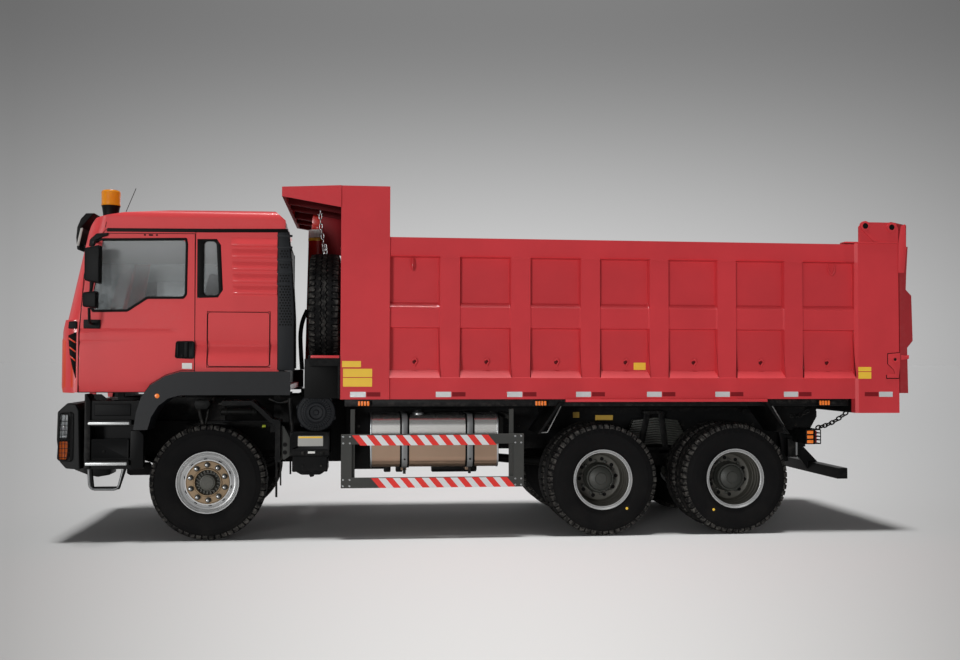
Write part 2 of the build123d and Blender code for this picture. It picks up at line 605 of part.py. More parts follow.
def cab_pieces():
    """The shell split where its panels meet."""
    shell = cab_shell()
    corner = sides(flat(CORNER_PANEL), CORNER_INNER, CAB_HALF)
    front_zone = side_solid(flat(FRONT_SEAM), -1300, 1300)
    floor = slab_of(shell, CAB_AHEAD, CAB_BACK, CAB_BOTTOM - 20, CAB_FLOOR_TOP)
    floor += both_sides(cab_pivot_lug())
    roof = slab_of(shell, CAB_AHEAD, CAB_BACK + 10, ROOF_SEAM, ROOF_TOP + 100)
    middle = slab_of(shell, CAB_AHEAD, CAB_BACK + 10, CAB_FLOOR_TOP, ROOF_SEAM)
    front = middle & front_zone
    rest = middle - front_zone
    wall = slab_of(rest, CAB_BACK - CAB_WALL, CAB_BACK + 10, CAB_FLOOR_TOP, ROOF_SEAM)
    side = rest - block(CAB_BACK - CAB_WALL, CAB_BACK + 50, -2000, 2000, CAB_FLOOR_TOP - 10, ROOF_SEAM + 10)
    return {"cab_floor": floor, "cab_roof": roof, "cab_front_panel": front,
            "cab_side_panels": side - corner, "cab_rear_wall": (wall - corner) + corner}


def cab_glass():
    """Windscreen and the small side windows, set into the walls."""
    low, high = SCREEN_Z
    belt_x = CAB_OUTLINE[3][0]
    foot = belt_x + (low - CAB_BELT) * SCREEN_LEAN + GLASS_INSET
    head = belt_x + (high - CAB_BELT) * SCREEN_LEAN + GLASS_INSET
    screen = side_plate([(foot, low), (foot + GLASS, low), (head + GLASS, high), (head, high)],
                        -SCREEN_HALF, SCREEN_HALF)
    pane = sides(flat(SIDE_WINDOW), CAB_HALF - GLASS_INSET - GLASS, CAB_HALF - GLASS_INSET)
    return screen + pane


def door(side):
    """Hollow-walled door panel with its window cut."""
    panel = side_solid(door_face(), side * (CAB_INNER + SEAT_GAP), side * CAB_HALF)
    hinge_edges = panel.edges().filter_by(Axis.Z).group_by(Axis.X)[0]
    panel = fillet(hinge_edges, DOOR_EDGE_RADIUS)
    panel -= side_solid(flat(DOOR_WINDOW), side * (CAB_INNER - 50), side * (CAB_HALF + 50))
    return panel


def door_glass(side):
    """Window pane in the door."""
    outer = CAB_HALF - GLASS_INSET
    return side_solid(flat(DOOR_WINDOW), side * (outer - GLASS), side * outer)


def door_mirrors(side):
    """Tall mirror, wide-angle mirror below it and their arm on the door."""
    y0 = side * CAB_HALF
    head = block(-1099, -956, y0 + side * 90, y0 + side * 240, 2413, 2777)
    small = block(-1121, -986, y0 + side * 90, y0 + side * 230, 2190, 2338)
    arm = rod((-1060, y0 + side * 160, 2040), (-1060, y0 + side * 160, 2500), 14)
    arm += rod((-1060, y0, 2040), (-1060, y0 + side * 160, 2040), 22)
    return head + small + arm + Pos(-1060, y0 + side * 160, 2040) * Sphere(22)


def locker_lid(side):
    """Side locker lid, hinged along its top edge."""
    lid = side_solid(flat(LOCKER_OUTLINE), side * (CAB_HALF - 25), side * CAB_HALF)
    (x0, _), (x1, top) = LOCKER_OUTLINE[0], LOCKER_OUTLINE[2]
    y, z = side * (CAB_HALF - MOVING_GAP / 2), top + LID_HINGE_DROP
    return lid + rod((x0 + 20, y, z), (x1 - 20, y, z), MOVING_GAP / 2)


def wheel_arches():
    """Flared trim on the cab's sides with a liner under the floor."""
    ring_face = flat(ARCH_OUTER + [ARCH_INNER[-1]] + ARCH_INNER[-2::-1])
    trim = side_solid(ring_face, -BED_HALF, -CAB_HALF)
    liner = side_solid(flat(ARCH_INNER + ARCH_LINER), -CAB_HALF - 1, -880)
    return both_sides(trim + liner)


def sun_visor():
    """Shade over the windscreen on four brackets."""
    blade = side_plate(VISOR_OUTLINE, -1120, 1120)
    height = VISOR_OUTLINE[5][1]
    for y in (-900, -300, 260, 860):
        blade += block(CAB_FACE + 132, CAB_FACE + 312, y, y + 40, height - 4, height + 26) - cab_body(0)
    return blade


def roof_beacon():
    """Amber lamp on a plinth at the roof's left corner, and the aerial."""
    top = ROOF_TOP
    plinth = block(-1055, -919, -968, -832, top - 121, top + 53)
    lamp = rod((-987, -900, top + 49), (-987, -900, top + 211), 88)
    aerial = rod((-848, -900, top - 51), (-752, -900, top + 235), 6)
    foot = block(-865, -820, -920, -880, top - 81, top - 11)
    return (plinth + lamp + aerial + foot) - cab_body(0)


def seats():
    """Two high-backed seats on pedestals."""
    floor = CAB_FLOOR_TOP
    seat = block(-640, -120, -780, -280, floor + 300, floor + 440)
    seat += block(-560, -200, -700, -360, floor, floor + 301)
    seat += side_plate([(-200, floor + 400), (-90, floor + 400), (60, floor + 1130), (-40, floor + 1130)],
                       -780, -280)
    return both_sides(seat)


def dashboard():
    """Dashboard across the cab with the steering wheel on its column."""
    floor = CAB_FLOOR_TOP
    body = side_plate([(-1250, floor + 420), (-1250, floor + 590), (-1120, floor + 640), (-900, floor + 560),
                       (-880, floor + 330), (-1100, floor + 200)], -1130, 1130)
    body &= cab_body(CAB_WALL)
    body += block(-1180, -1120, -500, 500, floor, floor + 330)
    wheel = rod((-1000, -530, floor + 400), (-840, -530, floor + 528), 30)
    centre = Plane(origin=(-835, -530, floor + 532), z_dir=(0.78, 0, 0.62))
    wheel += centre * Torus(215, 15)
    wheel += centre * Box(420, 36, 14)
    return body + wheel


# ------------------------------------------------------------------------ bed
def bed_side_walls():
    """Side plates with rails, ribs and the columns at both ends."""
    y, p, i = -BED_HALF, -PANEL_OUTER, -PANEL_INNER
    section = [(i, BED_BOTTOM), (y, BED_BOTTOM), (y, 1552), (p, 1629), (p, 1996), (y, 2044), (y, 2242),
               (p, 2290), (p, 2690), (y, 2735), (y, BED_RAIL_TOP), (i, BED_RAIL_TOP)]
    wall = cross_plate(section, FRONT_COLUMN_END, REAR_COLUMN[0])
    for count in range(RIB_COUNT):
        x = RIB_FIRST + count * RIB_PITCH
        wall += level_plate([(x - 36, p), (x, y), (x + RIB_WIDTH, y), (x + RIB_WIDTH + 36, p)], 1500, 2800)
    wall += block(BED_FRONT, FRONT_COLUMN_END, y, i, BED_BOTTOM, FRONT_COLUMN_TOP)
    wall += block(*REAR_COLUMN, y, i, REAR_COLUMN_BOTTOM, REAR_COLUMN_TOP)
    x, rear, z = REAR_COLUMN[0] + 42, REAR_COLUMN[1], REAR_COLUMN_TOP
    plate = side_plate([(x, z), (rear, z), (rear, z + 145), (rear - 25, z + 202), (rear - 90, z + 202),
                        (x + 47, z + 202), (x, z + 155)], y, y + GATE_PLATE)
    wall += plate
    x, z = GATE_HINGE
    wall += rod((x, y, z), (x, y + GATE_PLATE + 60, z), GATE_PIN)
    return both_sides(wall)


def bed_floor():
    """Floor plate on two long beams and cross ribs, with the rear sill and hinge arms."""
    rear = REAR_COLUMN[1]
    floor = block(BED_FRONT, rear, -PANEL_INNER, PANEL_INNER, BED_BOTTOM, BED_BOTTOM + BED_FLOOR)
    floor -= block(BED_FRONT - 1, WELL_BACK + BED_FLOOR, -WELL_OUTER, WELL_OUTER,
                   BED_BOTTOM - 200, BED_BOTTOM + 100)
    inner = RAIL_OUTER_Y - RAIL_FLANGE
    beam = block(BED_FRONT, RAIL_END, -RAIL_OUTER_Y, -inner, SUBFRAME_TOP + SEAT_GAP, BED_BOTTOM)
    for count in range(-1, RIB_COUNT):
        x = RIB_FIRST + count * RIB_PITCH + RIB_WIDTH / 2
        low = BED_BOTTOM - CROSS_RIB
        beam += block(x - 50, x + 50, -PANEL_INNER, -WELL_OUTER, low, BED_BOTTOM)
        if count >= 0:
            floor += block(x - 50, x + 50, -WELL_OUTER - 1, WELL_OUTER + 1, low, BED_BOTTOM)
    beam += block(REAR_COLUMN[0], rear, -PANEL_INNER, 0, REAR_COLUMN_BOTTOM, BED_BOTTOM)
    hinge_x, hinge_z = BED_HINGE
    y0, y1 = -RAIL_OUTER_Y + 46, -inner + 6
    low = hinge_z - 40
    arm = [(hinge_x - 100, BED_BOTTOM), (hinge_x + 120, BED_BOTTOM), (hinge_x + 40, low),
           (hinge_x - 34, low)]
    beam += side_plate(arm, y0, y1)
    beam += block(RAIL_END - 1, REAR_COLUMN[0], -RAIL_OUTER_Y + 30, -inner, BED_BOTTOM - 60, BED_BOTTOM)
    beam += rod((hinge_x, -RAIL_OUTER_Y, hinge_z), (hinge_x, y1, hinge_z), HINGE_PIN_RADIUS)
    return floor + both_sides(beam)


def headboard():
    """Front wall with a sloping well that clears the hoist, and the ears for its eye."""
    x0, x1 = BED_FRONT, BED_FRONT + 52
    base = BED_BOTTOM + BED_FLOOR
    wall = block(x0, x1, -PANEL_INNER, PANEL_INNER, base, FRONT_COLUMN_TOP)
    wall -= block(x0 - 1, x1 + 1, -WELL_HALF, WELL_HALF, base - 1, WELL_TOP - 60)
    back = side_plate([(x0 + 22, WELL_TOP), (x1, WELL_TOP), (WELL_BACK + BED_FLOOR, BED_BOTTOM),
                       (WELL_BACK, BED_BOTTOM)], -WELL_OUTER, WELL_OUTER)
    cheek = side_plate([(x0, BED_BOTTOM), (x0, WELL_TOP - 20), (x1 - 10, WELL_TOP - 20),
                        (WELL_BACK + 10, BED_BOTTOM)], -WELL_OUTER, -WELL_HALF)
    ear_x, ear_z = HOIST_EYE
    outline = [(x0, ear_z - 110), (x0, ear_z + 120), (ear_x - 60, ear_z + 70), (ear_x - 60, ear_z - 45),
               (ear_x, ear_z - 70)]
    ear = side_plate(outline, -94, -64)
    ears = both_sides(ear) - rod((ear_x, -100, ear_z), (ear_x, 100, ear_z), HOIST_PIN_RADIUS + 2)
    return wall + back + both_sides(cheek) + ears


def canopy():
    """Cab guard that reaches over the cab from the headboard's top."""
    x0, x1 = CANOPY_FRONT, BED_FRONT
    high = FRONT_COLUMN_TOP
    top = side_plate([(x0, high - 46), (x0, high - 26), (x1, high), (x1, high - 20)], -BED_HALF, BED_HALF)
    top += side_plate([(x0, high - 117), (x0, high - 26), (x0 + 30, high - 25), (x0 + 30, high - 122)],
                      -BED_HALF, BED_HALF)
    rib = [(x0, high - 117), (x0, high - 26), (x1, high), (x1, high - 212)]
    for y in (-BED_HALF, -780, -330):
        top += both_sides(side_plate(rib, y, y + 30))
    return top


def spare_wheel():
    """Spare wheel across the truck, in front of the headboard."""
    metal = rim(0, -115, -1)
    metal += Pos(0, 115, TYRE_RADIUS) * (Rot(90, 0, 0) * (Cylinder(HUB_RADIUS, 14) - Cylinder(60, 40)))
    wheel = Pos(0, 0, -TYRE_RADIUS) * (tyre(0) + metal)
    return Pos(SPARE_CENTRE[0], SPARE_CENTRE[1], SPARE_CENTRE[2]) * (Rot(0, 0, 90) * wheel)


def spare_shelf():
    """Tray under the spare wheel, with a plate below it and a clamp to the headboard."""
    x1 = BED_FRONT
    base = SPARE_CENTRE[2] - TYRE_RADIUS - SEAT_GAP
    tray = block(940, x1, -1245, -200, base - 28, base)
    tray += block(940, x1, -1245, -1225, base - 28, base + 76)
    tray += block(970, x1, -1120, -1095, BED_BOTTOM + 5, base - 27)
    tray += block(x1 - 24, x1, -1245, -230, BED_BOTTOM + 5, base)
    return tray


def tailgate():
    """Rear door of the bed, hung from two arms at the top."""
    x0 = REAR_COLUMN[1] + MOVING_GAP
    x1 = REAR_REACH
    top = REAR_COLUMN_TOP - 45
    panel = side_plate([(x0, 1404), (x0, top), (x1 - 45, top), (x1 - 63, top - 275), (x1 - 70, top - 440),
                        (x1 - 11, top - 501), (x1, 1937), (x1 - 60, 1865), (x1 - 53, 1404)],
                       -BED_HALF + 5, BED_HALF - 5)
    x, z = GATE_HINGE
    y0 = -BED_HALF + GATE_PLATE + MOVING_GAP
    outline = [(x0, top - 1), (x1 - 45, top - 1), (x1 - 42, z + 8), (x - 10, z + 40), (x - 40, z + 10),
               (x - 40, z - 25), (x0, z - 77)]
    arm = side_plate(outline, y0, y0 + 40)
    arm -= rod((x, y0 - 1, z), (x, y0 + 41, z), GATE_PIN + KINGPIN_FIT)
    return panel + both_sides(arm)


# ---------------------------------------------------------------------- hoist
def hoist_direction():
    """Unit vector from the hoist's base pin to its eye."""
    dx = HOIST_EYE[0] - HOIST_BASE[0]
    dz = HOIST_EYE[1] - HOIST_BASE[1]
    length = math.hypot(dx, dz)
    return dx / length, dz / length, length


def along(distance):
    """Point on the hoist's line, measured from its base pin."""
    ux, uz, _ = hoist_direction()
    return (HOIST_BASE[0] + ux * distance, 0, HOIST_BASE[1] + uz * distance)


def hoist_tube(start, end, outer, inner):
    """One tube of the hoist between two distances from the base pin."""
    return rod(along(start), along(end), outer) - rod(along(start - 1), along(end + 1), inner)


def hoist_pieces():
    """Outer tube on its trunnions and three nested stages, the last with the eye."""
    _, _, length = hoist_direction()
    r0, r1, r2, r3 = HOIST_RADII
    x, z = HOIST_BASE
    tube = hoist_tube(-50, length - 195, r0, r1 + HOIST_FIT)
    tube += rod(along(-60), along(-30), r0)
    for side in (-1, 1):
        tube += rod((x, side * 160, z), (x, side * (r1 + 2), z), HOIST_PIN_RADIUS)
    one = hoist_tube(-20, length - 160, r1, r2 + HOIST_FIT)
    two = hoist_tube(-10, length - 125, r2, r3 + HOIST_FIT)
    three = rod(along(0), along(length - 30), r3)
    three += rod((HOIST_EYE[0], -54, HOIST_EYE[1]), (HOIST_EYE[0], 54, HOIST_EYE[1]), 46)
    three -= rod((HOIST_EYE[0], -60, HOIST_EYE[1]), (HOIST_EYE[0], 60, HOIST_EYE[1]), HOIST_PIN_RADIUS)
    return {"hoist_tube": tube, "hoist_stage_1": one, "hoist_stage_2": two, "hoist_stage_3": three}


# --------------------------------------------------------------------- output
PLAIN_PIECES = {
    "chassis_frame": chassis_frame, "front_bumper": front_bumper, "headlamps": headlamps,
    "front_axle": front_axle, "drive_axles": drive_axles, "powertrain": powertrain, "fuel_tank": fuel_tank,
    "exhaust_box": exhaust_box, "air_filter": air_filter, "battery_box": battery_box,
    "side_guards": side_guards, "cab_steps": cab_steps, "mudguards": mudguards, "tail_lamps": tail_lamps,
    "underrun_bar": underrun_bar, "cab_glass": cab_glass, "wheel_arches": wheel_arches,
    "sun_visor": sun_visor, "roof_beacon": roof_beacon, "seats": seats, "dashboard": dashboard,
    "bed_side_walls": bed_side_walls, "bed_floor": bed_floor, "headboard": headboard, "canopy": canopy,
    "spare_wheel": spare_wheel, "spare_shelf": spare_shelf, "tailgate": tailgate,
}
SIDES = {"left": -1, "right": 1}

for piece_name, make in PLAIN_PIECES.items():
    save(piece_name, make())
for piece_name, solid in {**cab_pieces(), **hoist_pieces()}.items():
    save(piece_name, solid)
for side_name, sign in SIDES.items():
    save(f"steering_knuckle_{side_name}", knuckle(sign))
    save(f"door_{side_name}", door(sign))
    save(f"door_glass_{side_name}", door_glass(sign))
    save(f"door_mirrors_{side_name}", door_mirrors(sign))
    save(f"locker_lid_{side_name}", locker_lid(sign))
    rubber, metal = front_wheel(sign)
    save(f"front_tyre_{side_name}", rubber)
    save(f"front_rim_{side_name}", metal)
    rubber, metal = rear_wheel(sign)
    for axle_name, axle_x in zip(("middle", "rear"), DRIVE_AXLE_X):
        save(f"{axle_name}_tyres_{side_name}", Pos(axle_x, 0, 0) * rubber)
        save(f"{axle_name}_rims_{side_name}", Pos(axle_x, 0, 0) * metal)
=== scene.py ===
"""Looks of the tipper truck: finishes, bodywork, running gear, wheels and the studio around it.

Every place is in metres. STATION is the front axle's X, and at() turns a length measured back
from that axle into the frame's own X.
"""

from __future__ import annotations

import json
import logging
import math
from contextlib import contextmanager
from dataclasses import dataclass, field
from enum import Enum
from typing import Callable, Iterable, Iterator, Optional, Sequence

import bmesh
import bpy
from mathutils import Matrix, Vector

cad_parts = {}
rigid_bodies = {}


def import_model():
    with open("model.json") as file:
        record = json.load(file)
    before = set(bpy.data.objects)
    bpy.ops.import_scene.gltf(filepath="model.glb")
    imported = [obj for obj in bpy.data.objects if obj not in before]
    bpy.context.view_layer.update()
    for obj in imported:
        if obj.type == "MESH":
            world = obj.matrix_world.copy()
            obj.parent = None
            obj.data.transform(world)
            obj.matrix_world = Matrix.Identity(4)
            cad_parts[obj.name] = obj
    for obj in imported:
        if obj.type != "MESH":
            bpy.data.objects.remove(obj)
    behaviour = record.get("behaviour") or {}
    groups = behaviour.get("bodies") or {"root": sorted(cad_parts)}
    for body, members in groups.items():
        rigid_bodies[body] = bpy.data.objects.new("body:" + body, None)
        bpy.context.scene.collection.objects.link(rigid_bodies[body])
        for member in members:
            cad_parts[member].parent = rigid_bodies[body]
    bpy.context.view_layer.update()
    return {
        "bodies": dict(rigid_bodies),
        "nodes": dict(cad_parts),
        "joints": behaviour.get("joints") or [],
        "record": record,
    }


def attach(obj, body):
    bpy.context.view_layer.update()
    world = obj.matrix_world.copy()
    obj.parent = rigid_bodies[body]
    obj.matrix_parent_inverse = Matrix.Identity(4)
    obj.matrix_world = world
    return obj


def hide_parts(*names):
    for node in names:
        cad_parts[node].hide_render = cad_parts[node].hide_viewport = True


LOG = logging.getLogger("tipper_truck")
STATION = -2.830
FULL_TURN = 2 * math.pi
MERGE = 0.0001
SIDE_SIGN = {"left": -1.0, "right": 1.0}

Object = bpy.types.Object
Material = bpy.types.Material
Point = Sequence[float]
Outline = Sequence[tuple[float, float]]
Test = Callable[[Vector, Vector], bool]


class Pick(Enum):
    """Kind of mesh part that an edit step selects."""

    VERTICES = "VERT"
    EDGES = "EDGE"
    FACES = "FACE"


class Plane(Enum):
    """Plane in which an outline is drawn."""

    SIDE = "XZ"
    LEVEL = "XY"
    CROSS = "YZ"


def at(x: float, y: float, z: float) -> Vector:
    """Point from its length behind the front axle, its side place and its height."""
    return Vector((x + STATION, y, z))


def linear(code: str) -> tuple[float, float, float, float]:
    """Scene colour of a hex code.

    Args:
        code: Six hex digits.

    Returns:
        Linear red, green, blue and an alpha of one.
    """
    parts = [int(code[i:i + 2], 16) / 255 for i in (0, 2, 4)]
    red, green, blue = [c / 12.92 if c <= 0.04045 else ((c + 0.055) / 1.055) ** 2.4 for c in parts]
    return red, green, blue, 1.0


# ------------------------------------------------------------------ node groups
class NodeTree:
    """Short calls for adding and joining shader nodes."""

    def __init__(self, tree: bpy.types.NodeTree) -> None:
        """Keep the tree that nodes are added to."""
        self.tree = tree

    def add(self, kind: str, settings: Optional[dict] = None, **sockets: object) -> bpy.types.Node:
        """Add a node.

        Args:
            kind: Node type without its ShaderNode prefix.
            settings: Node attributes to set.
            sockets: Input values or output sockets to join, by input name with _ for spaces.

        Returns:
            The new node.
        """
        prefix = "" if kind.startswith("NodeGroup") else "ShaderNode"
        node = self.tree.nodes.new(prefix + kind)
        for key, value in (settings or {}).items():
            setattr(node, key, value)
        for key, value in sockets.items():
            self.join(node.inputs[key.replace("_", " ")], value)
        return node

    def join(self, target: bpy.types.NodeSocket, value: object) -> None:
        """Join an output socket to an input, or set the input's own value."""
        if isinstance(value, bpy.types.NodeSocket):
            self.tree.links.new(value, target)
        else:
            target.default_value = value

    def maths(self, operation: str, first: object, second: object = 0.0,
              clamp: bool = False) -> bpy.types.NodeSocket:
        """Result socket of a Math node."""
        node = self.add("Math", {"operation": operation, "use_clamp": clamp})
        self.join(node.inputs[0], first)
        self.join(node.inputs[1], second)
        return node.outputs[0]

    def spread(self, value: object, low: float, high: float) -> bpy.types.NodeSocket:
        """Value stretched so that low gives 0 and high gives 1."""
        node = self.add("MapRange", {"interpolation_type": "SMOOTHSTEP"}, Value=value, From_Min=low,
                        From_Max=high)
        return node.outputs[0]

    def mix(self, share: object, first: object, second: object) -> bpy.types.NodeSocket:
        """Colour between two colours."""
        node = self.add("Mix", {"data_type": "RGBA"})
        self.join(node.inputs[0], share)
        self.join(node.inputs[6], first)
        self.join(node.inputs[7], second)
        return node.outputs[2]

    def group(self, tree: bpy.types.NodeTree, **sockets: object) -> bpy.types.Node:
        """Place a shared node group with its own values."""
        return self.add("Group", {"node_tree": tree}, **sockets)


def new_group(name: str, inputs: dict[str, float],
              outputs: dict[str, str]) -> tuple[NodeTree, dict, bpy.types.Node]:
    """Start a shared shader group.

    Args:
        name: Group name.
        inputs: Default value of each float input.
        outputs: Socket type of each output.

    Returns:
        The tree's helper, its input sockets by name and the output node.
    """
    tree = bpy.data.node_groups.new(name, "ShaderNodeTree")
    for label, value in inputs.items():
        tree.interface.new_socket(label, in_out="INPUT", socket_type="NodeSocketFloat").default_value = value
    for label, kind in outputs.items():
        tree.interface.new_socket(label, in_out="OUTPUT", socket_type=kind)
    nodes = NodeTree(tree)
    entry = nodes.add("NodeGroupInput")
    out = nodes.add("NodeGroupOutput")
    return nodes, {s.name: s for s in entry.outputs if s.name}, out


def grain_group() -> bpy.types.NodeTree:
    """Uneven tone over broad areas and a fine surface height."""
    existing = bpy.data.node_groups.get("surface_grain")
    if existing:
        return existing
    floats = {"Broad": "NodeSocketFloat", "Fine": "NodeSocketFloat"}
    nodes, given, out = new_group("surface_grain", {"Broad Scale": 1.5, "Fine Scale": 300.0}, floats)
    place = nodes.add("TexCoord").outputs["Object"]
    broad = nodes.add("TexNoise", None, Vector=place, Scale=given["Broad Scale"], Detail=4.0, Roughness=0.6)
    fine = nodes.add("TexNoise", None, Vector=place, Scale=given["Fine Scale"], Detail=2.0)
    nodes.join(out.inputs["Broad"], nodes.spread(broad.outputs[0], 0.3, 0.7))
    nodes.join(out.inputs["Fine"], fine.outputs[0])
    return nodes.tree


def dust_group() -> bpy.types.NodeTree:
    """Mask of road dust: stronger low down, on upward faces and in patches."""
    existing = bpy.data.node_groups.get("road_dust")
    if existing:
        return existing
    nodes, given, out = new_group("road_dust", {"Amount": 0.3, "Height": 1.2}, {"Mask": "NodeSocketFloat"})
    place = nodes.add("TexCoord").outputs["Object"]
    height = nodes.add("SeparateXYZ", None, Vector=place).outputs["Z"]
    low = nodes.maths("SUBTRACT", 1.0, nodes.maths("DIVIDE", height, given["Height"], True), True)
    facing = nodes.add("NewGeometry").outputs["Normal"]
    upward = nodes.add("SeparateXYZ", None, Vector=facing).outputs["Z"]
    lying = nodes.maths("MULTIPLY", nodes.spread(upward, 0.1, 1.0), 0.6)
    patch = nodes.add("TexNoise", None, Vector=place, Scale=5.0, Detail=6.0, Roughness=0.65).outputs[0]
    total = nodes.maths("ADD", nodes.maths("MULTIPLY", low, 0.8), lying, True)
    patchy = nodes.maths("MULTIPLY", total, nodes.spread(patch, 0.25, 0.85))
    nodes.join(out.inputs["Mask"], nodes.maths("MULTIPLY", patchy, given["Amount"], True))
    return nodes.tree


def wear_group() -> bpy.types.NodeTree:
    """Mask of rubbed edges, broken up by noise."""
    existing = bpy.data.node_groups.get("edge_wear")
    if existing:
        return existing
    nodes, given, out = new_group("edge_wear", {"Amount": 0.3}, {"Mask": "NodeSocketFloat"})
    place = nodes.add("TexCoord").outputs["Object"]
    sharp = nodes.spread(nodes.add("NewGeometry").outputs["Pointiness"], 0.52, 0.62)
    broken = nodes.add("TexNoise", None, Vector=place, Scale=22.0, Detail=8.0, Roughness=0.7).outputs[0]
    mask = nodes.maths("MULTIPLY", sharp, nodes.spread(broken, 0.4, 0.7))
    nodes.join(out.inputs["Mask"], nodes.maths("MULTIPLY", mask, given["Amount"], True))
    return nodes.tree


@dataclass(frozen=True)
class Finish:
    """A surface finish that every piece of one kind shares."""

    name: str
    colour: str
    roughness: float = 0.5
    metallic: float = 0.0
    tone: float = 0.06
    fine_scale: float = 300.0
    bump: float = 0.05
    dust: float = 0.15
    dust_height: float = 1.4
    dust_colour: str = "8F877C"
    wear: float = 0.15
    wear_colour: str = "A8A29B"
    coat: float = 0.0
    glow: float = 0.0
    specular: float = 0.5

    def material(self) -> Material:
        """The finish as a material, made the first time that it is asked for."""
        existing = bpy.data.materials.get(self.name)
        if existing:
            return existing
        material = bpy.data.materials.new(self.name)
        material.use_nodes = True
        nodes = NodeTree(material.node_tree)
        shader = material.node_tree.nodes["Principled BSDF"]
        grain = nodes.group(grain_group(), Fine_Scale=self.fine_scale)
        dust = nodes.group(dust_group(), Amount=self.dust, Height=self.dust_height).outputs["Mask"]
        wear = nodes.group(wear_group(), Amount=self.wear).outputs["Mask"]
        base = linear(self.colour)
        light = tuple(min(1.0, c * (1 + self.tone)) for c in base[:3]) + (1.0,)
        dark = tuple(c * (1 - self.tone) for c in base[:3]) + (1.0,)
        tone = nodes.mix(grain.outputs["Broad"], dark, light)
        worn = nodes.mix(wear, tone, linear(self.wear_colour))
        nodes.join(shader.inputs["Base Color"], nodes.mix(dust, worn, linear(self.dust_colour)))
        uneven = nodes.maths("MULTIPLY", nodes.maths("SUBTRACT", grain.outputs["Fine"], 0.5), 0.12)
        rough = nodes.maths("ADD", nodes.maths("ADD", self.roughness, uneven),
                            nodes.maths("MULTIPLY", dust, 0.4))
        nodes.join(shader.inputs["Roughness"], nodes.maths("MINIMUM", rough, 1.0, True))
        bump = nodes.add("Bump", None, Strength=self.bump, Distance=0.002, Height=grain.outputs["Fine"])
        nodes.join(shader.inputs["Normal"], bump.outputs[0])
        shader.inputs["Metallic"].default_value = self.metallic
        shader.inputs["Specular IOR Level"].default_value = self.specular
        shader.inputs["Coat Weight"].default_value = self.coat
        shader.inputs["Coat Roughness"].default_value = 0.06
        if self.glow:
            shader.inputs["Emission Color"].default_value = base
            shader.inputs["Emission Strength"].default_value = self.glow
        return material


@dataclass(frozen=True)
class GlassFinish:
    """Clear or tinted glass and lens plastic."""

    name: str
    colour: str
    roughness: float = 0.02
    clear: float = 1.0
    ribs: float = 0.0
    painted_top_sheen: Optional[tuple[float, float]] = None
    glow: float = 0.0

    def material(self) -> Material:
        """The glass as a material, made the first time that it is asked for."""
        existing = bpy.data.materials.get(self.name)
        if existing:
            return existing
        material = bpy.data.materials.new(self.name)
        material.use_nodes = True
        nodes = NodeTree(material.node_tree)
        shader = material.node_tree.nodes["Principled BSDF"]
        grain = nodes.group(grain_group(), Fine_Scale=60.0)
        base = linear(self.colour)
        dim = tuple(c * 0.93 for c in base[:3]) + (1.0,)
        nodes.join(shader.inputs["Base Color"], nodes.mix(grain.outputs["Broad"], dim, base))
        rough = nodes.maths("ADD", self.roughness, nodes.maths("MULTIPLY", grain.outputs["Broad"], 0.02))
        nodes.join(shader.inputs["Roughness"], rough)
        if self.ribs:
            place = nodes.add("TexCoord").outputs["Object"]
            wave = nodes.add("TexWave", {"bands_direction": "Z"}, Vector=place, Scale=self.ribs)
            bump = nodes.add("Bump", None, Strength=0.5, Distance=0.003, Height=wave.outputs["Fac"])
            nodes.join(shader.inputs["Normal"], bump.outputs[0])
        shader.inputs["Transmission Weight"].default_value = self.clear
        # Painted reflection: the glass turns less clear towards the top and shows its pale base colour there,
        # standing for a reflection.
        if self.painted_top_sheen:
            place = nodes.add("TexCoord").outputs["Object"]
            height = nodes.add("SeparateXYZ", None, Vector=place).outputs["Z"]
            top_sheen = nodes.maths("MULTIPLY", nodes.spread(height, *self.painted_top_sheen), 0.4)
            nodes.join(shader.inputs["Transmission Weight"], nodes.maths("SUBTRACT", self.clear, top_sheen))
        shader.inputs["Emission Color"].default_value = base
        shader.inputs["Emission Strength"].default_value = self.glow
        shader.inputs["IOR"].default_value = 1.45
        return material


AnyFinish = Finish | GlassFinish
CAB_RED = Finish("cab_red", "D9474A", 0.32, coat=0.15, specular=0.2, dust=0.05, wear=0.03, tone=0.03,
                 bump=0.01)
BED_RED = Finish("bed_red", "CC3A40", 0.42, coat=0.08, specular=0.2, dust=0.03, wear=0.04, tone=0.05,
                 bump=0.02)
DEEP_RED = Finish("deep_red", "7E1A20", 0.5, dust=0.05, wear=0.0, specular=0.12)
HOIST_RED = Finish("hoist_red", "CF2A20", 0.35, coat=0.15, specular=0.3)
CHASSIS_BLACK = Finish("chassis_black", "08090A", 0.42, dust=0.02, wear=0.06, bump=0.06, specular=0.1)
GUARD_GREY = Finish("guard_grey", "3C3D3B", 0.5, dust=0.08, wear=0.05, specular=0.2)
PLASTIC_BLACK = Finish("plastic_black", "0B0C0D", 0.5, dust=0.02, wear=0.02, fine_scale=700.0, bump=0.2,
                       specular=0.12)
PLASTIC_GREY = Finish("plastic_grey", "1E2023", 0.48, dust=0.02, wear=0.02, fine_scale=700.0, bump=0.2,
                      specular=0.15)
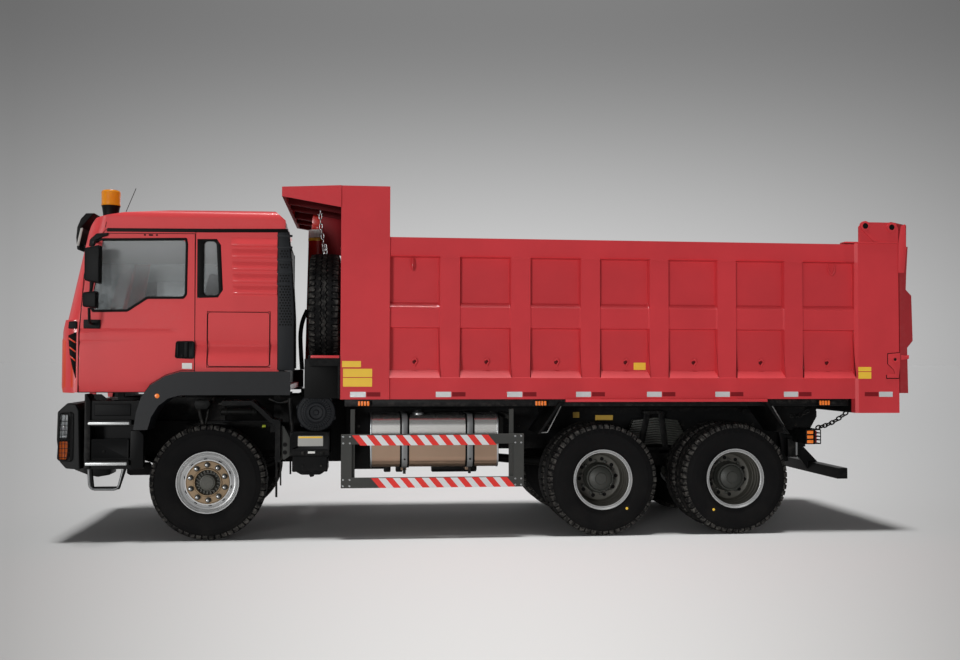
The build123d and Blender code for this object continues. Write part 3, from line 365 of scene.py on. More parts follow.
# Pale tread edges: partly rubbed wear and dust, partly a painted highlight on the blocks.
RUBBER_WEAR_AND_HIGHLIGHT = Finish("rubber", "0C0C0D", 0.75, dust=0.03, wear=0.6, wear_colour="6E6B66", fine_scale=120.0,
                bump=0.15, specular=0.1)
ARCH_PLASTIC = Finish("arch_plastic", "131518", 0.42, dust=0.02, wear=0.02, fine_scale=700.0, bump=0.12,
                      specular=0.25)
DEFLECTOR_RED = Finish("deflector_red", "DC4529", 0.32, coat=0.05, dust=0.03, wear=0.0, tone=0.03, bump=0.01,
                       specular=0.15)
MIRROR = Finish("mirror_glass", "C9CED1", 0.04, 1.0, dust=0.03, wear=0.0, bump=0.0)
BUMPER_PLASTIC = Finish("bumper_plastic", "0B0C0D", 0.4, dust=0.03, wear=0.02, fine_scale=700.0, bump=0.12,
                        specular=0.15)
STEP_STEEL = Finish("step_steel", "6E7072", 0.35, 0.7, dust=0.2, wear=0.3)
PLUG_GREEN = Finish("plug_green", "A8B52E", 0.4, dust=0.1, wear=0.0)
LABEL_GREY = Finish("label_grey", "A9A9A4", 0.4, dust=0.05, wear=0.0)
LABEL_OCHRE = Finish("label_ochre", "B99535", 0.45, dust=0.1, wear=0.0)
STRIPE_RED = Finish("stripe_red", "E0281F", 0.3, dust=0.03, wear=0.0, fine_scale=400.0, bump=0.3)
STRIPE_WHITE = Finish("stripe_white", "DADCDD", 0.3, dust=0.05, wear=0.0, fine_scale=400.0, bump=0.3)
SEAL = Finish("window_seal", "050505", 0.5, dust=0.01, wear=0.0, specular=0.1)
WHEEL_SILVER = Finish("wheel_silver", "B4B5B5", 0.34, 0.45, dust=0.12, wear=0.05)
HUB_TAN = Finish("hub_tan", "8A7458", 0.5, 0.25, dust=0.1, tone=0.16)
HUB_GREY = Finish("hub_grey", "2E302C", 0.5, 0.2, dust=0.1, tone=0.1)
STEEL = Finish("bare_steel", "9A9C9D", 0.32, 0.9, dust=0.1, tone=0.1)
BRIGHT_STEEL = Finish("bright_steel", "D5D7D8", 0.18, 1.0, dust=0.05)
TANK_METAL = Finish("brushed_tank", "D8D7D4", 0.24, 0.92, dust=0.15, bump=0.1)
EXHAUST_METAL = Finish("scaled_exhaust", "8A8580", 0.45, 0.8, dust=0.3, tone=0.2)
TREAD_METAL = Finish("tread_metal", "B9BBBB", 0.38, 0.7, dust=0.2)
CAST_METAL = Finish("cast_iron", "0F1010", 0.5, 0.2, dust=0.06, tone=0.15, bump=0.2, specular=0.12)
SEAT_CLOTH = Finish("seat_cloth", "55585B", 0.9, fine_scale=900.0, bump=0.4, dust=0.05, wear=0.0)
CABIN_GREY = Finish("cabin_grey", "4A4C4F", 0.7, dust=0.05, fine_scale=500.0, bump=0.2)
LABEL_YELLOW = Finish("label_yellow", "F6C83C", 0.4, dust=0.02, wear=0.0)
LABEL_WHITE = Finish("label_white", "E6E6E2", 0.4, dust=0.05, wear=0.0)
REFLECTOR = Finish("reflector_silver", "D9DBDC", 0.2, 0.35, dust=0.08, wear=0.0, fine_scale=400.0, bump=0.5)
AMBER_SOLID = Finish("amber_marker", "EE7A20", 0.3, dust=0.05, wear=0.0, glow=0.12)
# The cabin glass is painted paler towards its top as a reflection.
CABIN_GLASS = GlassFinish("cabin_glass", "C6CACB", clear=0.9, painted_top_sheen=(2.35, 2.87))
LAMP_GLASS = GlassFinish("lamp_lens", "F2F4F5", ribs=40.0)
AMBER_LENS = GlassFinish("amber_lens", "E8960F", 0.12, 0.4, ribs=30.0, glow=0.12)
ORANGE_LENS = GlassFinish("orange_lens", "F07A22", 0.15, 0.45, ribs=40.0)
RED_LENS = GlassFinish("red_tail_lens", "C9201E", 0.15, 0.4, ribs=40.0)
STRAP_GREY = Finish("strap_grey", "77797A", 0.42, 0.3, dust=0.15)
DISH_BRONZE = Finish("dish_bronze", "474640", 0.5, 0.2, dust=0.08, tone=0.2)
EDGE_GREY = Finish("edge_grey", "A4A5A4", 0.5, dust=0.1)
# Painted shade: a darker copy of the bed's red for the tailgate, standing for the shade that falls on it.
SHADED_GATE_RED = Finish("shaded_gate_red", "9A2A2F", 0.42, dust=0.03, wear=0.04, specular=0.2)
# Dark red that paints the shade under the canopy; the drain plugs take it too.
SHADE_AND_PLUG_RED = Finish("shade_and_plug_red", "5A191C", 0.6, dust=0.02, wear=0.0, specular=0.1)
TANK_BROWN = Finish("dusty_tank", "A08672", 0.3, 0.85, dust=0.2, bump=0.1)
HUB_MID = Finish("hub_mid", "45453F", 0.5, 0.25, dust=0.1, tone=0.12)


# ------------------------------------------------------------------ bench tools
def activate(obj: Object) -> None:
    """Select one object alone and make it the active one."""
    bpy.ops.object.select_all(action="DESELECT")
    obj.select_set(True)
    bpy.context.view_layer.objects.active = obj


@contextmanager
def edit_mode(obj: Object) -> Iterator[None]:
    """Edit mode on one object, entered with nothing selected."""
    activate(obj)
    bpy.ops.object.mode_set(mode="EDIT")
    bpy.ops.mesh.select_all(action="DESELECT")
    yield
    bpy.ops.object.mode_set(mode="OBJECT")


def pick(obj: Object, kind: Pick, test: Test) -> int:
    """Select parts of the mesh in edit mode.

    Args:
        obj: Object in edit mode.
        kind: Vertices, edges or faces.
        test: Says yes or no to a part's middle and its normal; an edge's normal is its direction.

    Returns:
        How many parts were selected.
    """
    bpy.ops.mesh.select_mode(type=kind.value)
    bpy.ops.mesh.select_all(action="DESELECT")
    mesh = bmesh.from_edit_mesh(obj.data)
    count = 0
    if kind is Pick.FACES:
        parts = [(f, f.calc_center_median(), f.normal) for f in mesh.faces]
    elif kind is Pick.EDGES:
        parts = [(e, (e.verts[0].co + e.verts[1].co) / 2, (e.verts[1].co - e.verts[0].co).normalized())
                 for e in mesh.edges]
    else:
        parts = [(v, v.co, v.normal) for v in mesh.verts]
    for part, place, normal in parts:
        if test(place, normal):
            part.select_set(True)
            count += 1
    mesh.select_flush_mode()
    bmesh.update_edit_mesh(obj.data)
    return count


def settle(name: str) -> Object:
    """Name the new active object and put its place into its mesh."""
    obj = bpy.context.object
    obj.name = obj.data.name = name
    bpy.ops.object.transform_apply(location=True, rotation=True, scale=True)
    return obj


def block(name: str, low: Point, high: Point) -> Object:
    """Block between two corners, as a start for shaping."""
    low, high = Vector(low), Vector(high)
    bpy.ops.object.select_all(action="DESELECT")
    bpy.ops.mesh.primitive_cube_add(size=1.0, location=(low + high) / 2)
    bpy.context.object.scale = high - low
    return settle(name)


def rod(name: str, start: Point, end: Point, radius: float, sides: int = 32) -> Object:
    """Round or many-sided bar between two points, as a start for shaping."""
    start, end = Vector(start), Vector(end)
    line = end - start
    bpy.ops.object.select_all(action="DESELECT")
    bpy.ops.mesh.primitive_cylinder_add(vertices=sides, radius=radius, depth=line.length,
                                        location=(start + end) / 2,
                                        rotation=line.to_track_quat("Z", "Y").to_euler())
    return settle(name)


def finish_modifier(obj: Object, kind: str, **settings: object) -> None:
    """Add a modifier with its settings and apply it."""
    activate(obj)
    bpy.ops.object.modifier_add(type=kind)
    modifier = obj.modifiers[-1]
    for key, value in settings.items():
        setattr(modifier, key, value)
    bpy.ops.object.modifier_apply(modifier=modifier.name)


def smooth(obj: Object, angle: float = 35.0) -> Object:
    """Shade smooth up to an angle in degrees."""
    activate(obj)
    bpy.ops.object.shade_smooth_by_angle(angle=math.radians(angle))
    return obj


def soften(obj: Object, width: float, segments: int = 2, angle: float = 35.0) -> Object:
    """Round off the sharp edges and shade smooth."""
    finish_modifier(obj, "BEVEL", width=width, segments=segments, limit_method="ANGLE",
                    angle_limit=math.radians(angle), use_clamp_overlap=True)
    return smooth(obj, angle)


def draw(name: str, points: Sequence[Point], closed: bool = False) -> Object:
    """Draw a line of points: one vertex, extruded from point to point.

    Args:
        name: Object name.
        points: Points in order.
        closed: Fill the outline with one face.

    Returns:
        The drawn object.
    """
    places = [Vector(p) for p in points]
    bpy.ops.object.select_all(action="DESELECT")
    bpy.ops.mesh.primitive_plane_add(size=0.01, location=places[0])
    obj = settle(name)
    with edit_mode(obj):
        bpy.ops.mesh.select_mode(type="VERT")
        bpy.ops.mesh.select_all(action="SELECT")
        bpy.ops.mesh.merge(type="CENTER")
        for here, there in zip(places, places[1:]):
            bpy.ops.mesh.extrude_region_move(TRANSFORM_OT_translate={"value": there - here})
        if closed:
            bpy.ops.mesh.select_all(action="SELECT")
            bpy.ops.mesh.edge_face_add()
    return obj


def in_plane(plane: Plane, first: float, second: float, depth: float) -> Vector:
    """Point of an outline drawn in a plane, at a depth across it."""
    if plane is Plane.SIDE:
        return at(first, depth, second)
    if plane is Plane.LEVEL:
        return at(first, second, depth)
    return at(depth, first, second)


def plate(name: str, outline: Outline, plane: Plane, near: float, far: float, corner: float = 0.0) -> Object:
    """Outline drawn in a plane and extruded from near to far across it.

    Args:
        name: Object name.
        outline: Pairs in the plane, the X ones measured from the front axle.
        plane: Plane that the outline lies in.
        near: Depth of the first face.
        far: Depth of the second face.
        corner: How far the outline's corners are rounded.

    Returns:
        The closed plate.
    """
    obj = draw(name, [in_plane(plane, a, b, near) for a, b in outline], closed=True)
    step = in_plane(plane, 0.0, 0.0, far) - in_plane(plane, 0.0, 0.0, near)
    with edit_mode(obj):
        round_corners(corner)
        bpy.ops.mesh.select_all(action="SELECT")
        bpy.ops.mesh.extrude_region_move(TRANSFORM_OT_translate={"value": step})
        bpy.ops.mesh.select_all(action="SELECT")
        bpy.ops.mesh.normals_make_consistent(inside=False)
    return obj


def round_corners(corner: float) -> None:
    """Round every corner of the face in edit mode."""
    if corner:
        bpy.ops.mesh.select_all(action="SELECT")
        bpy.ops.mesh.bevel(offset=corner, segments=5, affect="VERTICES")


def frame_ring(name: str, outline: Outline, width: float, near: float, far: float,
               corner: float = 0.0) -> Object:
    """Flat ring along the inside of a side outline, such as a window's seal.

    Args:
        name: Object name.
        outline: Pairs of X from the front axle and Z.
        width: Width of the ring.
        near: Y of the first face.
        far: Y of the second face.
        corner: How far the outline's corners are rounded.

    Returns:
        The ring.
    """
    obj = draw(name, [at(x, near, z) for x, z in outline], closed=True)
    with edit_mode(obj):
        round_corners(corner)
        bpy.ops.mesh.select_all(action="SELECT")
        bpy.ops.mesh.inset(thickness=width, use_boundary=True)
        bpy.ops.mesh.delete(type="FACE")
        bpy.ops.mesh.select_all(action="SELECT")
        bpy.ops.mesh.extrude_region_move(TRANSFORM_OT_translate={"value": (0, far - near, 0)})
        bpy.ops.mesh.select_all(action="SELECT")
        bpy.ops.mesh.normals_make_consistent(inside=False)
    return obj


def cut(obj: Object, place: Point, normal: Point) -> None:
    """Split an object's faces along a plane."""
    with edit_mode(obj):
        bpy.ops.mesh.select_all(action="SELECT")
        bpy.ops.mesh.bisect(plane_co=place, plane_no=normal)


def shift(obj: Object, test: Test, move: Point) -> None:
    """Move the vertices that a test picks."""
    with edit_mode(obj):
        if pick(obj, Pick.VERTICES, test):
            bpy.ops.transform.translate(value=move)


def lathe(name: str, profile: Outline, steps: int = 72) -> Object:
    """Profile of (length along Y, radius) pairs spun about the Y axis through the origin."""
    obj = draw(name, [(radius, along, 0.0) for along, radius in profile])
    with edit_mode(obj):
        bpy.ops.mesh.select_all(action="SELECT")
        bpy.ops.mesh.spin(steps=steps, angle=FULL_TURN, center=(0, 0, 0), axis=(0, 1, 0))
        bpy.ops.mesh.select_all(action="SELECT")
        bpy.ops.mesh.remove_doubles(threshold=MERGE)
        bpy.ops.mesh.normals_make_consistent(inside=False)
    return obj


def pipe(name: str, points: Sequence[Point], radius: float, bend: float = 0.0, cuts: int = 4) -> Object:
    """Bar or hose of one thickness along a line of points, its corners rounded by bend."""
    obj = draw(name, points)
    if bend:
        with edit_mode(obj):
            bpy.ops.mesh.select_all(action="SELECT")
            bpy.ops.mesh.bevel(offset=bend, segments=cuts, affect="VERTICES")
    activate(obj)
    bpy.ops.object.convert(target="CURVE")
    curve = bpy.context.object.data
    curve.bevel_depth = radius
    curve.bevel_resolution = 3
    curve.use_fill_caps = True
    bpy.ops.object.convert(target="MESH")
    tube = bpy.context.object
    tube.data.name = name
    return smooth(tube, 50.0)


def copied(obj: Object, name: str, move: Point = (0, 0, 0), turn: Optional[Matrix] = None) -> Object:
    """Copy with a mesh of its own, turned about the origin and then moved."""
    twin = obj.copy()
    twin.data = obj.data.copy()
    twin.name = twin.data.name = name
    bpy.context.scene.collection.objects.link(twin)
    if turn is not None:
        twin.data.transform(turn.to_4x4())
    twin.data.transform(Matrix.Translation(Vector(move)))
    return twin


def mirrored(obj: Object, name: str) -> Object:
    """Copy on the truck's other side, with its faces turned outwards again."""
    twin = copied(obj, name)
    twin.data.transform(Matrix.Diagonal((1, -1, 1, 1)))
    twin.data.flip_normals()
    return twin


def joined(name: str, pieces: Iterable[Object]) -> Object:
    """Join several objects into one."""
    pieces = list(pieces)
    activate(pieces[0])
    for piece in pieces:
        piece.select_set(True)
    if len(pieces) > 1:
        bpy.ops.object.join()
    obj = bpy.context.object
    obj.name = obj.data.name = name
    return obj


def in_circle(obj: Object, count: int, start: float = 0.0) -> list[Object]:
    """The object and its copies, evenly turned about the Y axis through the origin."""
    turns = [Matrix.Rotation(start + FULL_TURN * n / count, 3, "Y") for n in range(count)]
    ring = [copied(obj, f"{obj.name}_{n}", turn=turn) for n, turn in enumerate(turns)]
    bpy.data.objects.remove(obj)
    return ring


def shade_faces(obj: Object, finish: AnyFinish, test: Test) -> None:
    """Give the faces that a test picks a second finish."""
    obj.data.materials.append(finish.material())
    with edit_mode(obj):
        pick(obj, Pick.FACES, test)
        obj.active_material_index = len(obj.data.materials) - 1
        bpy.ops.object.material_slot_assign()


def pair(obj: Object, body: str, finish: AnyFinish, slot: str) -> None:
    """Dress a piece of the left side and its mirror image on the right.

    Args:
        obj: Finished piece of the left side.
        body: Body, with {side} where the two sides have bodies of their own.
        finish: Surface finish.
        slot: Material slot of the record.
    """
    name = obj.name
    twin = mirrored(obj, f"{name}_right")
    obj.name = obj.data.name = f"{name}_left"
    dressed(obj, body.format(side="left"), finish, slot)
    dressed(twin, body.format(side="right"), finish, slot)


def dressed(obj: Object, body: str, finish: AnyFinish, slot: str, *nodes: str) -> Object:
    """Give a finished piece its finish, its body and the CAD nodes that it stands for.

    Args:
        obj: Finished piece.
        body: Body that it rides on.
        finish: Surface finish.
        slot: Material slot of the record; not used.
        nodes: CAD nodes that the piece replaces.

    Returns:
        The piece.
    """
    if not obj.data.materials:
        obj.data.materials.append(finish.material())
    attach(obj, body)
    if nodes:
        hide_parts(*nodes)
    LOG.info("%s rides on %s", obj.name, body)
    return obj


class Carrier:
    """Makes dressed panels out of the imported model's own meshes."""

    def __init__(self, frame: dict) -> None:
        """Keep the frame that the meshes come from."""
        self.nodes: dict[str, Object] = frame["nodes"]
        self.body_of: dict[str, str] = {
            node: body for body, members in frame["record"]["behaviour"]["bodies"].items()
            for node in members}

    def panel(self, node: str, finish: AnyFinish, slot: str, width: float = 0.004, angle: float = 30.0,
              shape: Optional[Callable[[Object], None]] = None) -> Object:
        """Copy a CAD node with softened edges, dressed and standing for that node.

        Args:
            node: CAD node.
            finish: Surface finish.
            slot: Material slot.
            width: How far the edges are rounded off.
            angle: Smallest edge angle that is rounded, in degrees.
            shape: Further shaping, done before the edges are rounded.

        Returns:
            The dressed copy.
        """
        piece = copied(self.nodes[node], f"{node}_panel")
        for key in list(piece.keys()):
            del piece[key]
        piece.parent = None
        piece.data.materials.clear()
        with edit_mode(piece):
            bpy.ops.mesh.select_all(action="SELECT")
            bpy.ops.mesh.remove_doubles(threshold=MERGE)
            bpy.ops.mesh.dissolve_limited(angle_limit=math.radians(0.3))
        if shape:
            shape(piece)
        if width:
            soften(piece, width, 2, angle)
        finish_modifier(smooth(piece, angle), "WEIGHTED_NORMAL", keep_sharp=True)
        return dressed(piece, self.body_of[node], finish, slot, node)

    def coat(self, node: str, finish: AnyFinish) -> None:
        """Give a CAD node that stays in view a finish."""
        mesh = self.nodes[node].data
        mesh.materials.clear()
        mesh.materials.append(finish.material())


# ----------------------------------------------------------------------- wheels
@dataclass
class TyrePattern:
    """Radial truck tyre with zigzag tread blocks, its axle along Y through the origin."""

    radius: float = 0.552
    tread_depth: float = 0.015
    pitches: int = 54
    steps_per_pitch: int = 4
    zigzag: float = 0.007
    tread_rows: tuple[float, ...] = (0.128, 0.090, 0.079, 0.031, 0.020)
    sidewall: tuple[tuple[float, float], ...] = (
        (0.100, 0.286), (0.116, 0.290), (0.130, 0.302), (0.134, 0.318), (0.141, 0.334), (0.1475, 0.372),
        (0.1495, 0.412), (0.1478, 0.446), (0.1478, 0.452), (0.1452, 0.456), (0.1425, 0.486), (0.1385, 0.500))

    def build(self) -> Object:
        """Make one tyre at the origin.

        Returns:
            The tyre.
        """
        base = self.radius - self.tread_depth
        half = list(self.sidewall) + [(self.tread_rows[0] - 0.001, base - 0.006)]
        half += [(y, base + 0.002 - 0.25 * y * y) for y in self.tread_rows[1:]]
        profile = half + [(-y, r) for y, r in reversed(half)]
        tyre = lathe("tyre", profile, self.pitches * self.steps_per_pitch)
        with edit_mode(tyre):
            self.shape_grooves(tyre)
            self.raise_blocks(tyre)
        return smooth(tyre, 28.0)

    def step_of(self, place: Vector) -> float:
        """Angle of a place about the axle, counted in tread steps."""
        turn = math.atan2(place.z, place.x) % FULL_TURN
        return turn / FULL_TURN * self.pitches * self.steps_per_pitch

    def shape_grooves(self, tyre: Object) -> None:
        """Shift the tread's inner vertices sideways in turn, so that the grooves zigzag."""
        limit = self.tread_rows[1] + 0.004
        for part, shift in ((0, self.zigzag), (2, -self.zigzag)):
            pick(tyre, Pick.VERTICES, lambda p, n: math.hypot(p.x, p.z) > 0.5 and abs(p.y) < limit
                 and round(self.step_of(p)) % self.steps_per_pitch == part)
            bpy.ops.transform.translate(value=(0, shift, 0))

    def raise_blocks(self, tyre: Object) -> None:
        """Raise the tread blocks and the shoulder lugs, leaving the grooves between them."""
        shoulder, inner, middle = self.tread_rows[1], self.tread_rows[2], self.tread_rows[3]
        last = self.steps_per_pitch - 1

        def is_block(place: Vector, normal: Vector) -> bool:
            """Whether a face belongs to a raised block."""
            side = abs(place.y)
            step = int(self.step_of(place))
            if math.hypot(place.x, place.z) < 0.503:
                return False
            if side > shoulder - 0.006:
                return step % self.steps_per_pitch != last
            return middle + 0.006 < side < inner - 0.004 or side < middle - 0.012

        pick(tyre, Pick.FACES, is_block)
        bpy.ops.mesh.extrude_region_shrink_fatten(
            TRANSFORM_OT_shrink_fatten={"value": self.tread_depth - 0.002})


@dataclass
class WheelRims:
    """Front and rear disc wheels with hubs and nuts, built facing +Y about the origin."""

    steps: int = 72
    nut_count: int = 10
    nut_circle: float = 0.1675

    def nut(self, along: float, radius: float = 0.0185) -> Object:
        """Wheel nut with its collar, on the nut circle."""
        centre = Vector((self.nut_circle, along, 0.0))
        collar = soften(rod("collar", centre, centre + Vector((0, 0.008, 0)), radius * 1.45, 20), 0.002)
        body = soften(rod("nut", centre + Vector((0, 0.006, 0)), centre + Vector((0, 0.034, 0)),
                          radius * 1.15, 6), 0.002)
        return joined("wheel_nut", [collar, body])

    def stud(self, along: float, radius: float = 0.0185) -> Object:
        """Bright end of a wheel stud."""
        centre = Vector((self.nut_circle, along, 0.0))
        return soften(rod("stud", centre + Vector((0, 0.03, 0)), centre + Vector((0, 0.048, 0)), radius * 0.7,
                          14), 0.002)

    def flange(self, name: str, inner: Outline) -> Object:
        """Rim barrel: bead seat, turned flange and the rings down to the disc."""
        outer = [(0.090, 0.2885), (0.127, 0.2885), (0.135, 0.293), (0.140, 0.2965), (0.1455, 0.294),
                 (0.1455, 0.288),
                 (0.137, 0.283), (0.128, 0.280), (0.122, 0.2745), (0.1275, 0.2700), (0.124, 0.2645)]
        rim = lathe(name, outer + list(inner), self.steps)
        return smooth(rim, 32.0)

    def front(self) -> dict[str, tuple[Object, AnyFinish, str]]:
        """Pieces of the front wheel, by name, with their finishes and slots."""
        shell = self.flange("rim_shell", [
            (0.112, 0.258), (0.109, 0.247), (0.1125, 0.2405), (0.109, 0.235), (0.112, 0.2265), (0.120, 0.217),
            (0.120, 0.206), (0.106, 0.204), (0.020, 0.204), (-0.120, 0.262), (-0.130, 0.2905),
            (-0.090, 0.2885), (0.090, 0.2885)])
        # Painted shade: the rim's slots are dark blocks laid on the rim where its openings would show only
        # shade.
        slot_shape = soften(block("slot", (0.2185, 0.1095, -0.016), (0.2285, 0.1205, 0.016)), 0.004)
        slots = joined("rim_slots", in_circle(slot_shape, self.nut_count, 0.12))
        face = smooth(lathe("hub_face", [(0.100, 0.2055), (0.124, 0.2055), (0.1275, 0.2005), (0.1235, 0.196),
                                         (0.1235, 0.139), (0.129, 0.1335), (0.1335, 0.128), (0.1335, 0.1225),
                                         (0.127, 0.119), (0.088, 0.119)], self.steps), 30.0)
        nuts = joined("wheel_nuts", in_circle(self.nut(0.1225), self.nut_count, 0.05))
        studs = joined("wheel_studs", in_circle(self.stud(0.1225), self.nut_count, 0.05))
        drum = lathe("hub_drum", [(0.089, 0.119), (0.089, 0.079), (0.140, 0.077), (0.151, 0.071),
                                  (0.153, 0.060), (0.157, 0.057), (0.158, 0.0)], self.steps)
        cog = soften(block("cog", (0.088, 0.089, -0.006), (0.116, 0.112, 0.006)), 0.003)
        cogs = in_circle(cog, 20)
        hub = joined("hub_drum", [smooth(drum, 30.0)] + cogs)
        return {"rim_shell": (shell, WHEEL_SILVER, "rim_metal"),
                "rim_slots": (slots, CHASSIS_BLACK, "rim_metal"),
                "hub_face": (face, HUB_TAN, "rim_metal"), "wheel_nuts": (nuts, HUB_GREY, "rim_metal"),
                "wheel_studs": (studs, STEEL, "rim_metal"),
                "hub_drum": (hub, HUB_MID, "cast_metal")}

    def rear(self) -> dict[str, tuple[Object, AnyFinish, str]]:
        """Pieces of one rear wheel: deep dish, disc with holes and the hub reduction."""
        flange = self.flange("rim_flange", [(0.100, 0.2640), (0.100, 0.2830), (0.090, 0.2885)])
        shell = lathe("rim_shell", [(0.121, 0.2640), (0.095, 0.2625), (0.060, 0.2655), (0.055, 0.260),
                                    (0.020, 0.256), (0.014, 0.250), (-0.030, 0.246),
            (-0.036, 0.240), (-0.088, 0.236), (-0.104, 0.228), (-0.110, 0.217), (-0.110, 0.150),
            (-0.128, 0.150), (-0.128, 0.236), (-0.136, 0.288), (-0.090, 0.2885), (0.090, 0.2860)], self.steps)
        # Painted shade: each hole in the disc is a dark cap on its face, standing for the shade seen through
        # the hole.
        hole = smooth(lathe("hole", [(-0.1085, 0.0), (-0.1085, 0.0155), (-0.106, 0.0185), (-0.110, 0.0195)],
                            20))
        hole.data.transform(Matrix.Translation((0.188, 0, 0)))
        holes = joined("disc_holes", in_circle(hole, self.nut_count, 0.2))
        nuts = joined("wheel_nuts", in_circle(self.nut(-0.108, 0.013), self.nut_count))
        hub = lathe("hub_drum", [(-0.110, 0.152), (-0.060, 0.150), (-0.052, 0.144), (0.004, 0.140),
                                 (0.012, 0.134),
                                 (0.012, 0.122), (0.030, 0.114), (0.044, 0.088), (0.050, 0.060),
                                 (0.056, 0.055), (0.059, 0.0)], self.steps)
        bolt = soften(rod("bolt", (0.128, 0.008, 0), (0.128, 0.022, 0), 0.0075, 6), 0.0015)
        drum = joined("hub_drum", [smooth(hub, 30.0)] + in_circle(bolt, 14, 0.1))
        return {"rim_shell": (smooth(shell, 32.0), DISH_BRONZE, "rim_metal"),
                "rim_flange": (flange, WHEEL_SILVER, "rim_metal"),
                "disc_holes": (holes, CHASSIS_BLACK, "rim_metal"),
                "wheel_nuts": (nuts, HUB_GREY, "rim_metal"), "hub_drum": (drum, HUB_GREY, "cast_metal")}


@dataclass
class Wheels:
    """All the road wheels and the spare, from one tyre and two rims."""

    tyre: TyrePattern = field(default_factory=TyrePattern)
    rims: WheelRims = field(default_factory=WheelRims)
    height: float = 0.552
    front_y: float = 1.012
    outer_y: float = 1.085
    inner_y: float = 0.735
    drive_axles: tuple[tuple[str, float], ...] = (("middle", 3.825), ("rear", 5.175))
    spare_centre: tuple[float, float, float] = (1.085, -0.692, 2.243)

    def build(self) -> None:
        """Make and place every wheel."""
        tyre = self.tyre.build()
        front = self.rims.front()
        rear = self.rims.rear()
        for side, sign in SIDE_SIGN.items():
            self.front_wheel(tyre, front, side, sign)
            for number, (axle, x) in enumerate(self.drive_axles):
                self.twin_wheel(tyre, rear, f"{axle}_{side}", x, sign, number)
        self.spare(tyre, rear)
        for obj in [tyre] + [entry[0] for entry in (*front.values(), *rear.values())]:
            bpy.data.objects.remove(obj)

    @staticmethod
    def facing(sign: float, turn: float) -> Matrix:
        """Turn that faces a wheel to its side and sets its pattern's start."""
        flip = Matrix.Rotation(0.0 if sign > 0 else math.pi, 3, "Z")
        return flip @ Matrix.Rotation(turn, 3, "Y")

    def front_wheel(self, tyre: Object, parts: dict, side: str, sign: float) -> None:
        """One front wheel on its side."""
        centre = at(0.0, sign * self.front_y, self.height)
        turn = self.facing(sign, 0.3)
        body = f"front_wheel_{side}"
        rubber = copied(tyre, f"front_tyre_{side}_rubber", centre, turn)
        dressed(rubber, body, RUBBER_WEAR_AND_HIGHLIGHT, "tyre_rubber", f"front_tyre_{side}")
        for name, (part, finish, slot) in parts.items():
            nodes = (f"front_rim_{side}",) if name == "rim_shell" else ()
            dressed(copied(part, f"front_{name}_{side}", centre, turn), body, finish, slot, *nodes)

    def twin_wheel(self, tyre: Object, parts: dict, name: str, x: float, sign: float, number: int) -> None:
        """One twinned rear wheel: both tyres on one body, the inner rim facing in."""
        axle, side = name.split("_")
        body = f"{axle}_wheels_{side}"
        outer, inner = at(x, sign * self.outer_y, self.height), at(x, sign * self.inner_y, self.height)
        outward, inward = self.facing(sign, 0.5 + number), self.facing(-sign, 1.1 + number)
        pair = [copied(tyre, "outer", outer, outward), copied(tyre, "inner", inner, inward)]
        dressed(joined(f"{axle}_tyres_{side}_rubber", pair), body, RUBBER_WEAR_AND_HIGHLIGHT, "tyre_rubber",
                f"{axle}_tyres_{side}")
        for part_name, (part, finish, slot) in parts.items():
            nodes = (f"{axle}_rims_{side}",) if part_name == "rim_shell" else ()
            dressed(copied(part, f"{axle}_{part_name}_{side}", outer, outward), body, finish, slot, *nodes)
            if part_name in ("rim_shell", "rim_flange", "disc_holes"):
                dressed(copied(part, f"{axle}_inner_{part_name}_{side}", inner, inward), body, finish, slot)

    def spare(self, tyre: Object, parts: dict) -> None:
        """Spare wheel across the truck in front of the headboard, its disc to the front."""
        centre = at(*self.spare_centre)
        turn = Matrix.Rotation(math.pi / 2, 3, "Z")
        rubber = copied(tyre, "spare_tyre", centre, turn)
        dressed(rubber, "bed", RUBBER_WEAR_AND_HIGHLIGHT, "tyre_rubber", "spare_wheel")
        for name in ("rim_shell", "rim_flange", "disc_holes"):
            part, finish, slot = parts[name]
            dressed(copied(part, f"spare_{name}", centre, turn), "bed", finish, slot)


